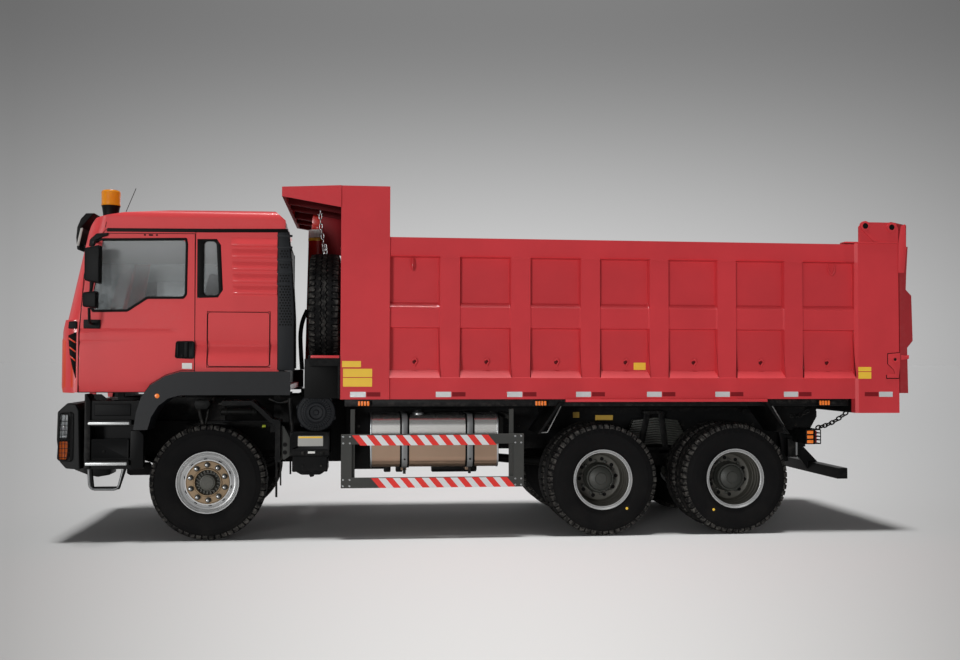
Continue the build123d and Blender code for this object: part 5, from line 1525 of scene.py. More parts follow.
@dataclass
class RunningGear:
    """Frame, axles, springs and the pieces hung on the rails."""

    carrier: Carrier
    spring_y: float = 0.390

    def build(self) -> None:
        """Make every piece of the chassis behind the front end."""
        carry = self.carrier
        for node in ("chassis_frame", "mudguards", "underrun_bar"):
            carry.panel(node, CHASSIS_BLACK, "chassis_paint", 0.004)
        for node in ("front_axle", "drive_axles", "powertrain", "steering_knuckle_left",
                     "steering_knuckle_right"):
            carry.panel(node, CAST_METAL, "cast_metal", 0.005)
        carry.panel("exhaust_box", EXHAUST_METAL, "exhaust_metal", 0.004)
        self.springs()
        self.shade_sheets()
        self.front_corner()
        self.air_filter()
        self.battery_box()
        self.rail_bolts()
        self.tail_lamps()

    def springs(self) -> None:
        """Leaves of the bogie spring, its splayed stays and the front springs' clamps."""
        middle, leaves = 4.555, []
        for number in range(11):
            half = 0.365 - 0.012 * number
            low = 0.850 + 0.0255 * number
            leaves.append(plate(f"leaf_{number}", [(middle - half, low - 0.030), (middle, low),
                                                   (middle + half, low - 0.030),
                                                   (middle + half, low - 0.010), (middle, low + 0.021),
                                                   (middle - half, low - 0.010)], Plane.SIDE, -0.445, -0.535))
        pair(joined("bogie_leaves", [soften(leaf, 0.003) for leaf in leaves]), "chassis", HUB_GREY,
             "cast_metal")
        stays = []
        for top, foot in (((4.430, 4.492), (4.355, 4.417)), ((4.578, 4.640), (4.626, 4.688))):
            stay = plate("stay", [(top[0], 1.174), (top[1], 1.174), (foot[1], 0.800), (foot[0], 0.800)],
                         Plane.SIDE,
                         -0.537, -0.552)
            stays.append(soften(stay, 0.004))
        head = soften(block("head", at(4.420, -0.550, 1.160), at(4.650, -0.430, 1.200)), 0.006)
        foot = soften(block("foot", at(4.345, -0.556, 0.782), at(4.700, -0.430, 0.816)), 0.006)
        bolts = [rod("bolt", at(x, -0.548, 1.180), at(x, -0.562, 1.180), 0.012,
                     6) for x in (4.45, 4.50, 4.57, 4.62)]
        pair(joined("bogie_stays", [*stays, head, foot, *bolts]), "chassis", CHASSIS_BLACK, "chassis_paint")
        clamps = []
        for x in (-0.075, 0.075):
            clamps.append(pipe("clamp", [at(x, -self.spring_y - 0.055, 0.470),
                                         at(x, -self.spring_y - 0.055, 0.640),
                                         at(x, -self.spring_y + 0.055, 0.640),
                                         at(x, -self.spring_y + 0.055, 0.470)],
                               0.009, 0.02))
        pair(joined("spring_clamps", clamps), "chassis", CAST_METAL, "cast_metal")

    def shade_sheets(self) -> None:
        """Black sheets painted as shade between the rails and the wheels, air bottles, the flaps' pale edges
        and the yellow tyre spots.
        """
        # Painted shade: black sheets set into the chassis where only shade shows between the rails and the
        # wheels.
        shade_sheets = []
        for x0, x1, z0, z1, y in ((-0.350, 0.620, 1.030, 1.360, -0.300), (0.620, 1.300, 0.680, 1.360, -0.424),
                                  (-0.860, -0.617, 0.573, 0.702, -0.600), (1.250, 1.750, 0.600, 0.900,
                                                                           -0.450),
                                  (4.250, 4.750, 0.420, 0.800, -0.030), (0.830, 0.960, 1.300, 1.430, -0.350)):
            shield = plate("shield", [(x0, z0 + 0.02), (x0 + 0.03, z0), (x1, z0), (x1, z1 - 0.03),
                                      (x1 - 0.02, z1),
                                      (x0, z1)], Plane.SIDE, y, y - 0.012, 0.008)
            shade_sheets.append(soften(shield, 0.003))
        pair(joined("painted_shade_sheets", shade_sheets), "chassis", SEAL, "chassis_paint")
        bottles = [soften(rod("bottle", at(2.160, -0.750, 0.640), at(2.620, -0.750, 0.640), 0.045, 32), 0.014,
                          3)]
        bottles += [soften(block("valve", at(x, -0.790, 0.600), at(x + 0.07, -0.700, 0.660)), 0.012, 3)
                    for x in (1.680, 1.800)]
        pair(joined("air_bottles", bottles), "chassis", CHASSIS_BLACK, "chassis_paint")
        edges = []
        for points in (((3.457, 1.340), (3.286, 1.014), (3.194, 1.010)), ((5.568, 1.326), (5.770, 0.991))):
            edges.append(pipe("edge", [at(x, -1.125, z) for x, z in points], 0.006))
        pair(joined("flap_edges", edges), "chassis", EDGE_GREY, "chassis_paint")
        for axle, x, z in (("middle", 4.063, 0.268), ("rear", 4.947, 0.246)):
            spot = soften(rod(f"{axle}_tyre_spot", at(x, -1.230, z), at(x, -1.2345, z), 0.013, 20), 0.001)
            dressed(spot, f"{axle}_wheels_left", LABEL_YELLOW, "tyre_rubber")

    def front_corner(self) -> None:
        """Pipes, air bottle and brackets that show over the front wheel."""
        pieces = [soften(rod("bottle", at(0.080, -0.870, 1.212), at(0.440, -0.870, 1.212), 0.034, 36), 0.014,
                         3)]
        for x in (0.130, 0.390):
            pieces.append(soften(rod("band", at(x, -0.870, 1.212), at(x + 0.02, -0.870, 1.212), 0.037, 36),
                                 0.003))
        pieces.append(pipe("line", [at(0.060, -0.880, 1.290), at(0.330, -0.880, 1.290),
                                    at(0.440, -0.900, 1.270),
                                    at(0.520, -0.900, 1.180)], 0.010, 0.04))
        pieces.append(pipe("hose", [at(-0.130, -0.820, 1.330), at(-0.120, -0.880, 1.200),
                                    at(-0.080, -0.880, 1.080)], 0.020,
                           0.05))
        pieces.append(pipe("hose", [at(0.010, -0.820, 1.345), at(-0.030, -0.900, 1.250),
                                    at(-0.060, -0.900, 1.080)], 0.012,
                           0.05))
        flange = plate("flange", [(-0.300, 1.030), (0.520, 1.030), (0.560, 1.090), (-0.300, 1.090)],
                       Plane.SIDE, -0.500,
                       -0.512, 0.01)
        pieces.append(soften(flange, 0.003))
        bracket = plate("bracket", [(0.070, 1.300), (0.200, 1.330), (0.380, 1.330), (0.460, 1.290),
                                    (0.300, 1.270), (0.110, 1.270)], Plane.SIDE, -0.905, -0.925, 0.01)
        pieces.append(soften(bracket, 0.004))
        joint = plate("joint", [(-0.150, 1.330), (-0.020, 1.330), (-0.005, 1.290), (-0.040, 1.240),
                                (-0.140, 1.240), (-0.165, 1.290)], Plane.SIDE, -0.880, -0.960, 0.012)
        pieces.append(soften(joint, 0.008))
        pair(joined("wheelhouse_pipes", pieces), "chassis", CAST_METAL, "chassis_paint")
        # Painted shade: the flange's holes are dark discs standing for the shade seen through them.
        holes = [rod("hole", at(x, -0.511, z), at(x, -0.5145, z), 0.008, 12) for x, z in
                 ((-0.24, 1.05), (-0.20, 1.07), (-0.16, 1.05), (0.28, 1.05), (0.34, 1.07), (0.40, 1.05))]
        pair(joined("flange_holes", holes), "chassis", SEAL, "chassis_paint")
        plug = soften(rod("green_plug", at(0.485, -0.900, 1.070), at(0.520, -0.900, 1.074), 0.013, 20), 0.003)
        pair(plug, "chassis", PLUG_GREEN, "amber_plastic")
        bracket = plate("triangle_bracket", [(0.688, 1.094), (0.712, 1.080), (0.772, 0.960), (0.772, 0.800),
                                             (0.715, 0.757), (0.688, 0.775)], Plane.SIDE, -1.092, -1.106,
                                             0.008)
        pair(soften(bracket, 0.003), "chassis", GUARD_GREY, "chassis_paint")
        # Painted shade: the bracket's eyes are dark discs standing for the shade seen through them.
        eyes = [rod("eye", at(0.722, -1.104, z), at(0.722, -1.1085, z), 0.021, 24) for z in (0.905, 0.830)]
        pair(joined("bracket_eyes", eyes), "chassis", SEAL, "chassis_paint")
        rods = [pipe("rod", [at(0.638, -1.060, 0.760), at(0.640, -1.060, 0.396)], 0.011),
                pipe("rod", [at(0.677, -1.060, 0.760), at(0.680, -1.060, 0.508)], 0.008),
                pipe("hose", [at(0.760, -1.040, 1.350), at(0.772, -1.050, 1.160), at(0.790, -1.050, 1.030)],
                     0.022, 0.04),
                pipe("hose", [at(0.560, -1.000, 1.345), at(0.660, -1.020, 1.300), at(0.760, -1.040, 1.330)],
                     0.014, 0.04)]
        pair(joined("hanging_rods", rods), "chassis", CHASSIS_BLACK, "chassis_paint")

    def air_filter(self) -> None:
        """Ribbed end cap of the intake filter."""
        profile = [(-0.640, 0.188), (-1.020, 0.190), (-1.026, 0.186), (-1.050, 0.186), (-1.062, 0.178),
                   (-1.064, 0.150),
                   (-1.060, 0.146), (-1.064, 0.142), (-1.068, 0.128), (-1.064, 0.124), (-1.070, 0.106),
                   (-1.066, 0.102),
                   (-1.074, 0.088), (-1.074, 0.070), (-1.056, 0.060), (-1.054, 0.030), (-1.062, 0.020),
                   (-1.062, 0.0)]
        cap = smooth(lathe("filter_cap", profile, 64), 25.0)
        rib = soften(block("rib", (0.108, -1.071, -0.004), (0.178, -1.062, 0.004)), 0.002)
        clip = soften(block("clip", (0.184, -1.050, -0.016), (0.197, -1.010, 0.016)), 0.003)
        body = joined("filter_body", [cap] + in_circle(rib, 36) + in_circle(clip, 6, 0.3))
        body.data.transform(Matrix.Translation(at(1.015, 0, 1.212)))
        bracket = soften(block("bracket", at(0.960, -0.660, 0.995), at(1.080, -0.430, 1.080)), 0.006)
        dressed(joined("filter_body", [body, bracket]), "chassis", PLASTIC_GREY, "black_plastic",
                "air_filter")

    def battery_box(self) -> None:
        """Lidded battery box with its blank plates, clips and lower tray."""
        self.carrier.panel("battery_box", CHASSIS_BLACK, "chassis_paint", 0.016, 30.0)
        lid = plate("battery_lid", [(0.774, 0.842), (1.147, 0.842), (1.147, 0.985), (1.120, 1.026),
                                    (0.800, 1.026), (0.774, 0.985)], Plane.SIDE, -1.124, -1.142, 0.01)
        with edit_mode(lid):
            pick(lid, Pick.FACES, lambda p, n: n.y < -0.9)
            bpy.ops.mesh.inset(thickness=0.022)
            bpy.ops.transform.translate(value=(0, 0.005, 0))
        foot = plate("battery_foot", [(0.792, 0.742), (1.130, 0.742), (1.100, 0.640), (1.060, 0.612),
                                      (0.880, 0.612), (0.830, 0.640)], Plane.SIDE, -0.900, -1.100, 0.012)
        valve = plate("valve", [(0.905, 0.640), (1.010, 0.640), (0.985, 0.560), (0.950, 0.552)], Plane.SIDE,
                      -0.700, -0.760)
        dressed(joined("battery_cover", [soften(lid, 0.005, 3), soften(foot, 0.010, 3),
                                         soften(valve, 0.006)]), "chassis",
                CHASSIS_BLACK, "chassis_paint")
        clips = [soften(block("clip", at(x, -1.150, 0.806), at(x + 0.030, -1.128, 0.842)),
                        0.004) for x in (0.880, 1.060)]
        clips += [rod("bolt", at(x, -1.129, 0.700), at(x, -1.120, 0.700), 0.010, 6) for x in (0.890, 1.068)]
        dressed(joined("battery_clips", clips), "chassis", CAST_METAL, "chassis_paint")
        label = [(0.846, 0.892), (1.086, 0.892), (1.086, 0.990), (0.846, 0.990)]
        dressed(plate("battery_label", label, Plane.SIDE, -1.1355, -1.1385, 0.004), "chassis", LABEL_GREY,
                "tank_metal")
        stripe = [(0.852, 0.968), (1.080, 0.968), (1.080, 0.985), (0.852, 0.985)]
        dressed(plate("battery_stripe", stripe, Plane.SIDE, -1.138, -1.1395), "chassis", LABEL_YELLOW,
                "tank_metal")
        tag = [(0.943, 0.822), (1.010, 0.822), (1.010, 0.842), (0.943, 0.842)]
        dressed(plate("battery_tag", tag, Plane.SIDE, -1.130, -1.1445), "chassis", LABEL_WHITE, "tank_metal")

    def rail_bolts(self) -> None:
        """Bolt heads along the rails, and the blank yellow plates beside the bogie."""
        bolt = lathe("bolt", [(-0.429, 0.017), (-0.4335, 0.017), (-0.4335, 0.012), (-0.441, 0.011),
                              (-0.441, 0.0)], 6)
        bolts = []
        for x in (1.35, 1.43, 2.20, 2.40, 2.98, 3.10, 3.42, 3.50, 4.12, 4.88, 5.58, 5.66, 6.02, 6.14):
            for z in (0.862, 1.040):
                bolts.append(copied(bolt, "bolt", at(x, 0, z)))
        bpy.data.objects.remove(bolt)
        pair(joined("rail_bolts", bolts), "chassis", CAST_METAL, "chassis_paint")
        for number, (x0, x1, z0, z1) in enumerate(((3.684, 3.750, 1.121, 1.181),
                                                   (3.925, 4.115, 1.095, 1.147))):
            tag = plate(f"rail_plate_{number}", [(x0, z0), (x1, z0), (x1, z1), (x0, z1)], Plane.SIDE, -0.429,
                        -0.4325,
                        0.003)
            dressed(tag, "chassis", LABEL_OCHRE, "chassis_paint")

    def tail_lamps(self) -> None:
        """Orange and clear lamps in a slatted box, and the spring box on the underrun hanger."""
        box = plate("lamp_box", [(5.948, 0.882), (6.050, 0.882), (6.050, 1.032), (5.948, 1.032)], Plane.SIDE,
                    -0.802,
                    -1.148, 0.006)
        arm = soften(block("arm", at(6.000, -0.806, 0.930), at(6.040, -0.430, 0.990)), 0.005)
        guard = [pipe("guard", [at(6.046, -1.140, z), at(6.108, -1.140, z), at(6.108, -0.810, z),
                                at(6.046, -0.810, z)],
                      0.005, 0.012) for z in (0.888, 0.925, 0.960, 0.995, 1.028)]
        guard += [pipe("guard", [at(6.108, y, 0.886), at(6.108, y, 1.030)],
                       0.005) for y in (-1.134, -0.975, -0.816)]
        lamp_body = joined("tail_lamp_box", [soften(box, 0.005), arm, *guard])
        twin = mirrored(lamp_body, "tail_lamp_box_right")
        dressed(joined("tail_lamp_boxes", [lamp_body, twin]), "chassis", CHASSIS_BLACK, "chassis_paint",
                "tail_lamps")
        lenses = [plate(f"lens_{n}", [(5.958, z), (6.022, z), (6.022, z + 0.032), (5.958, z + 0.032)],
                        Plane.SIDE, -1.146,
                        -1.154, 0.005) for n, z in enumerate((0.893, 0.940, 0.987))]
        pair(soften(joined("tail_side_lenses", lenses), 0.002), "chassis", AMBER_SOLID, "amber_plastic")
        for name, y0, y1, finish in (("red", -1.140, -1.040, RED_LENS), ("orange", -1.034, -0.940,
                                                                         ORANGE_LENS),
                                     ("clear", -0.934, -0.815, LAMP_GLASS)):
            lens = plate(f"tail_{name}_lens", [(y0, 0.896), (y1, 0.896), (y1, 1.018), (y0, 1.018)],
                         Plane.CROSS, 6.048,
                         6.066, 0.01)
            pair(soften(lens, 0.005, 3), "chassis", finish, "red_lens")
        box = plate("hanger_box", [(6.000, 0.700), (6.125, 0.700), (6.125, 0.900), (6.000, 0.900)],
                    Plane.SIDE, -0.492,
                    -0.560, 0.006)
        slot = plate("hanger_slot", [(6.086, 0.720), (6.104, 0.720), (6.104, 0.880), (6.086, 0.880)],
                     Plane.SIDE, -0.559,
                     -0.5625, 0.006)
        hanger = plate("hanger", [(5.905, 1.030), (6.010, 1.030), (6.010, 0.900), (6.030, 0.650),
                                  (5.955, 0.650), (5.940, 0.880)], Plane.SIDE, -0.430, -0.500, 0.006)
        pair(joined("underrun_hangers", [soften(box, 0.005), soften(hanger, 0.005)]), "chassis",
             CHASSIS_BLACK,
             "chassis_paint")
        pair(slot, "chassis", STEEL, "chassis_paint")


@dataclass
class TankSide:
    """Fuel tank and the striped side guards."""

    carrier: Carrier
    face: float = -1.250
    stripe_pitch: float = 0.1388
    stripe_lean: float = 0.080
    dust_line: float = 0.950

    def build(self) -> None:
        """Make the tank and both guards."""
        tank = self.carrier.panel("fuel_tank", TANK_METAL, "tank_metal", 0.003, 20.0, shape=self.part_tank)
        shade_faces(tank, TANK_BROWN, lambda p, n: p.z < self.dust_line)
        self.carrier.panel("side_guards", GUARD_GREY, "guard_paint", 0.005, shape=self.sink_faces)
        self.tank_trim()
        self.stripes("top", 1.364, 2.767, 0.903, 1.001)
        self.stripes("bottom", 1.548, 2.945, 0.496, 0.590)
        self.guard_bolts()

    def part_tank(self, tank: Object) -> None:
        """Split the tank's faces along the line where the road dust begins."""
        cut(tank, (0, 0, self.dust_line), (0, 0, 1))

    def sink_faces(self, guards: Object) -> None:
        """Move the guards' outer faces in by the thickness of what is fixed on them."""
        for sign in SIDE_SIGN.values():
            shift(guards, lambda p, n: p.y * sign > 1.2485, (0, -sign * 0.003, 0))

    def tank_trim(self) -> None:
        """Strap edges and bolts, end seams, filler cap and the lines over the tank."""
        seams, rubber, bolts = [], [], []
        for x in (1.541, 2.779):
            ring = self.tank_loop(x, x + 0.016, 0.004)
            seams.append(ring)
        straps = []
        for x in (1.846, 2.486):
            rubber += [self.tank_loop(x - 0.018, x, 0.008), self.tank_loop(x + 0.054, x + 0.072, 0.008)]
            straps.append(self.tank_loop(x, x + 0.054, 0.0095))
            bolts.append(soften(rod("bolt", at(x + 0.027, -1.156, 0.760), at(x + 0.027, -1.172, 0.760), 0.010,
                                    6), 0.002))
            bolts.append(pipe("hook", [at(x + 0.027, -1.100, 0.672), at(x + 0.027, -1.100, 0.615)], 0.014))
        dressed(joined("tank_seams", seams), "chassis", STEEL, "tank_metal")
        dressed(joined("tank_straps", straps), "chassis", STRAP_GREY, "chassis_paint")
        dressed(joined("tank_strap_rubber", rubber), "chassis", SEAL, "black_plastic")
        dressed(joined("tank_strap_bolts", bolts), "chassis", CAST_METAL, "chassis_paint")
        cap = lathe("filler_cap", [(0.0, 0.048), (0.022, 0.050), (0.024, 0.056), (0.050, 0.057),
                                   (0.062, 0.050), (0.066, 0.0)], 40)
        top = lathe("filler_lid", [(0.056, 0.0), (0.058, 0.050), (0.062, 0.058), (0.080, 0.056),
                                   (0.086, 0.048), (0.088, 0.0)], 40)
        for piece, finish in ((cap, STEEL), (top, PLASTIC_BLACK)):
            piece.data.transform(Matrix.Translation(at(2.010, -1.010,
                                                       1.152)) @ Matrix.Rotation(math.pi / 2, 4, "X"))
            dressed(smooth(piece, 30.0), "chassis", finish, "tank_metal")
        lines = [pipe("line", [at(2.010, -0.930, 1.226), at(2.120, -0.900, 1.235), at(2.380, -0.880, 1.222),
                               at(2.600, -0.860, 1.230)], 0.009, 0.05),
                 pipe("line", [at(1.940, -0.930, 1.236), at(2.060, -0.930, 1.262)], 0.008)]
        dressed(joined("tank_lines", lines), "chassis", PLASTIC_BLACK, "black_plastic")

    def tank_loop(self, near: float, far: float, proud: float) -> Object:
        """Band around the tank's section, standing proud of it."""
        y0, y1, z0, z1 = -1.150 - proud, -0.480, 0.678 - proud, 1.191 + proud
        band = plate("band", [(y0, z0), (y1, z0), (y1, z1), (y0, z1)], Plane.CROSS, near, far, 0.105)
        return soften(band, 0.002)

    def stripes(self, name: str, x0: float, x1: float, z0: float, z1: float) -> None:
        """Red and white reflective stripes along a guard's bar.

        Args:
            name: Which bar.
            x0: Start along the bar.
            x1: End along the bar.
            z0: Lower edge.
            z1: Upper edge.
        """
        half = self.stripe_pitch / 2
        count = int((x1 - x0 - self.stripe_lean) / self.stripe_pitch)
        strips = {"red": [], "white": []}
        for number in range(2 * count + 1):
            x = x0 + half * number
            strip = plate("strip", [(x, z1), (x + half, z1), (x + half + self.stripe_lean, z0),
                                    (x + self.stripe_lean, z0)], Plane.SIDE, self.face + 0.005,
                                    self.face + 0.0005)
            strips["white" if number % 2 else "red"].append(strip)
        for colour, finish in (("red", STRIPE_RED), ("white", STRIPE_WHITE)):
            pair(joined(f"{name}_{colour}_stripes", strips[colour]), "chassis", finish, "guard_paint")

    def guard_bolts(self) -> None:
        """Bolts at the guards' corners."""
        bolt = lathe("bolt", [(-1.247, 0.009), (-1.2495, 0.009), (-1.250, 0.007), (-1.250, 0.0)], 12)
        places = [(x, z) for x in (1.282, 1.345, 2.948, 3.006) for z in (0.515, 0.575, 0.925, 0.988)]
        bolts = [copied(bolt, "bolt", at(x, -0.0005, z)) for x, z in places]
        bpy.data.objects.remove(bolt)
        pair(joined("guard_bolts", bolts), "chassis", STEEL, "guard_paint")


# ------------------------------------------------------------------------- bed
@dataclass
class Bed:
    """Tipping bed, cab guard, tailgate and hoist."""

    carrier: Carrier
    edge: float = 1.250
    column_face: float = 1.236
    rail_face: float = 1.218
    rib_face: float = 1.214
    belt_face: float = 1.204
    panel_face: float = 1.162
    rib_slope: float = 0.036
    rib_foot: float = 0.014
    chamfer: float = 0.030
    recess_tops: tuple[tuple[float, float], ...] = ((1.996, 0.038), (2.690, 0.036))
    columns: tuple[float, float] = (1.719, 6.441)
    ribs: tuple[float, ...] = (2.210, 2.908, 3.606, 4.304, 5.002, 5.700)
    rib_width: float = 0.192
    rib_ends: tuple[float, float] = (1.553, 2.734)
    belt: tuple[float, float] = (2.030, 2.300)
    step: float = 0.006

    def build(self) -> None:
        """Make every piece of the bed."""
        carry = self.carrier
        carry.panel("bed_side_walls", BED_RED, "bed_paint", 0.008, shape=self.step_faces)
        carry.panel("headboard", BED_RED, "bed_paint", 0.005)
        guard = carry.panel("canopy", BED_RED, "bed_paint", 0.005)
        # Painted shade: the canopy's underside and inner faces get a dark red for the shade under it.
        shade_faces(guard, SHADE_AND_PLUG_RED, lambda p,
                    n: abs(p.y) < self.edge - 0.012 and n.z < 0.2 and abs(n.x) < 0.9)
        carry.panel("spare_shelf", CHASSIS_BLACK, "chassis_paint", 0.005)
        carry.panel("bed_floor", CHASSIS_BLACK, "chassis_paint", 0.004)
        # The tailgate takes the darker red of painted shade.
        carry.panel("tailgate", SHADED_GATE_RED, "bed_paint", 0.005)
        self.rail_marks()
        self.labels()
        self.hooks()
        self.lock_hooks()
        self.column_cap()
        self.chains()
        self.hoist()
        self.spare_fixings()
        self.shelf_edges()

    def shelf_edges(self) -> None:
        """Ledge and dark plate of the spare wheel's shelf, plate behind the hoist and the gate's arms."""
        ledge = plate("shelf_ledge", [(0.966, 1.742), (1.238, 1.742), (1.238, 1.767), (0.966, 1.767)],
                      Plane.SIDE,
                      -1.240, -1.2495, 0.004)
        dressed(soften(ledge, 0.002), "bed", BED_RED, "bed_paint")
        shield = plate("shelf_shield", [(0.902, 1.352), (1.244, 1.352), (1.244, 1.736), (0.902, 1.736)],
                       Plane.SIDE,
                       -1.122, -1.128, 0.01)
        dressed(soften(shield, 0.002), "bed", SEAL, "chassis_paint")
        back = plate("hoist_backing", [(1.030, 2.820), (1.250, 2.820), (1.250, 3.250), (1.030, 3.235)],
                     Plane.SIDE,
                     -0.290, -0.298, 0.006)
        dressed(soften(back, 0.002), "bed", DEEP_RED, "bed_paint")
        arm = plate("gate_arm", [(6.979, 3.135), (6.987, 2.878), (6.963, 2.632), (6.899, 2.631),
                                 (6.902, 2.938), (6.930, 3.110)], Plane.SIDE, -1.242, -1.2495, 0.008)
        pair(soften(arm, 0.003), "tailgate_body", BED_RED, "bed_paint")

    def step_faces(self, walls: Object) -> None:
        """Set the columns, the rails, the ribs and the belt rail one behind the other."""
        step = self.step
        front, rear = self.columns
        for rib in self.ribs:
            for x, move in ((rib - self.rib_slope, self.rib_slope - self.rib_foot),
                            (rib + self.rib_width + self.rib_slope, self.rib_foot - self.rib_slope)):
                shift(walls, lambda p, n: abs(abs(p.y) - self.panel_face) < 0.001
                      and abs(p.x - STATION - x) < 0.002, (move, 0, 0))
        for height, move in self.recess_tops:
            shift(walls, lambda p, n: abs(abs(p.y) - self.panel_face) < 0.001 and abs(p.z - height) < 0.002,
                  (0, 0, move))
        for x in (front, front + step, rear, rear + self.chamfer):
            cut(walls, at(x, 0, 0), (1, 0, 0))
        for rib in self.ribs:
            for x in (rib - self.rib_foot, rib, rib + self.rib_width, rib + self.rib_width + self.rib_foot):
                cut(walls, at(x, 0, 0), (1, 0, 0))
        low, high = self.rib_ends
        for z in (low, low + step, high - step, high):
            cut(walls, (0, 0, z), (0, 0, 1))

        def depth(place: Vector) -> float:
            """How far behind the widest face a point of the outer side belongs."""
            x = place.x - STATION
            if x < front + 0.001 or x > rear + self.chamfer - 0.001:
                return self.edge - self.column_face
            on_rib = any(rib - 0.001 < x < rib + self.rib_width + 0.001 for rib in self.ribs)
            if on_rib and low + 0.001 < place.z < high - 0.001:
                return self.edge - self.rib_face
            if not on_rib and self.belt[0] < place.z < self.belt[1]:
                return self.edge - self.belt_face
            return self.edge - self.rail_face

        for sign in SIDE_SIGN.values():
            for move in {self.edge - face for face in (self.column_face, self.rail_face, self.rib_face,
                                                       self.belt_face)}:
                shift(walls, lambda p, n: p.y * sign > self.edge - 0.001 and abs(depth(p) - move) < 0.0005,
                      (0, -sign * move, 0))

    def rail_marks(self) -> None:
        """Silver and deep-red reflectors and the marker lamps under the rail."""
        silver, deep = [], []
        for x in (1.343, 2.170, 2.870, 3.556, 4.272, 4.973, 5.687):
            silver.append(self.mark(x, x + 0.150, 1.366, 1.418))
            deep.append(self.mark(x + 0.158, x + 0.290, 1.372, 1.414))
        silver.append(self.mark(6.686, 6.832, 1.366, 1.418))
        deep.append(self.mark(6.534, 6.682, 1.372, 1.414))
        pair(joined("silver_reflectors", silver), "bed", REFLECTOR, "bed_paint")
        pair(joined("deep_reflectors", deep), "bed", DEEP_RED, "bed_paint")
        lamps, bases = [], []
        for x in (1.420, 3.156, 6.076):
            bases.append(plate("base", [(x - 0.012, 1.276), (x + 0.124, 1.276), (x + 0.124, 1.332),
                                        (x - 0.012, 1.332)],
                               Plane.SIDE, -1.150, -1.182, 0.006))
            for count in range(4):
                low = x + 0.029 * count
                lamps.append(plate("lens", [(low, 1.282), (low + 0.021, 1.282), (low + 0.021, 1.326),
                                            (low, 1.326)],
                                   Plane.SIDE, -1.180, -1.190, 0.004))
        pair(soften(joined("marker_lamps", lamps), 0.002), "bed", AMBER_SOLID, "amber_plastic")
        pair(soften(joined("marker_bases", bases), 0.003), "bed", CHASSIS_BLACK, "chassis_paint")
        beam = [plate("skirt", [(1.290, 1.272), (6.400, 1.272), (6.400, 1.344), (1.290, 1.344)], Plane.SIDE,
                      -1.120, -1.152,
                      0.004)]
        pair(soften(joined("rail_skirt", beam), 0.004), "bed", CHASSIS_BLACK, "chassis_paint")
        strip = plate("red_edge", [(3.449, 1.318), (5.506, 1.318), (5.506, 1.344), (3.449, 1.344)],
                      Plane.SIDE, -1.200,
                      -1.246)
        pair(soften(strip, 0.003), "bed", BED_RED, "bed_paint")

    def mark(self, x0: float, x1: float, z0: float, z1: float) -> Object:
        """Thin plate on the rail's face."""
        face = self.rail_face if self.columns[0] < x0 and x1 < self.columns[1] else self.column_face
        return plate("mark", [(x0, z0), (x1, z0), (x1, z1), (x0, z1)], Plane.SIDE, 0.002 - face,
                     -0.0015 - face, 0.002)

    def labels(self) -> None:
        """Blank yellow labels."""
        for number, (x0, x1, z0, z1) in enumerate(((1.265, 1.446, 1.655, 1.714), (1.275, 1.553, 1.560, 1.640),
                                                   (1.275, 1.553, 1.468, 1.552), (4.152, 4.274, 1.634, 1.706),
                                                   (6.468, 6.605, 1.626, 1.669),
                                                   (6.468, 6.605, 1.550, 1.618))):
            face = 1.162 if number == 3 else self.column_face
            label = plate(f"bed_label_{number}", [(x0, z0), (x1, z0), (x1, z1), (x0, z1)], Plane.SIDE,
                          0.002 - face,
                          -0.0015 - face, 0.003)
            dressed(label, "bed", LABEL_YELLOW, "bed_paint")

    def hooks(self) -> None:
        """Cover hooks under the top rail and the drain hooks with their dark plugs below."""
        hooks = []
        for x, half in ((1.933, 0.006), (6.208, 0.026)):
            hooks.append(pipe("hook", [at(x - half, -1.158, 2.730), at(x - half, -1.180, 2.660),
                                       at(x, -1.206, 2.596),
                                       at(x + half, -1.222, 2.650), at(x + half, -1.200, 2.722)], 0.0085,
                                       0.02))
        plugs = []
        for x in (1.969, 2.676, 3.372, 4.073, 4.772, 5.470, 6.170):
            hooks.append(pipe("drain", [at(x - 0.022, -1.172, 1.726), at(x + 0.004, -1.178, 1.742),
                                        at(x + 0.024, -1.178, 1.714), at(x + 0.002, -1.178, 1.690),
                                        at(x, -1.172, 1.666)], 0.0075, 0.010))
            plugs.append(rod("plug", at(x - 0.006, -1.160, 1.708), at(x - 0.006, -1.166, 1.708), 0.020, 20))
        pair(joined("bed_hooks", hooks), "bed", BED_RED, "bed_paint")
        # The drain plugs take the same dark red as the canopy's painted shade.
        pair(soften(joined("drain_plugs", plugs), 0.002), "bed", SHADE_AND_PLUG_RED, "bed_paint")

    def lock_hooks(self) -> None:
        """Tailgate lock on the rear column: hook over a dark plate that paints its shadow, lever and red
        pivot ring.
        """
        outline = [(6.784, 1.802), (6.913, 1.813), (6.928, 1.780), (6.912, 1.680), (6.899, 1.558),
                   (6.771, 1.558), (6.771, 1.598), (6.857, 1.598), (6.846, 1.640), (6.783, 1.700)]
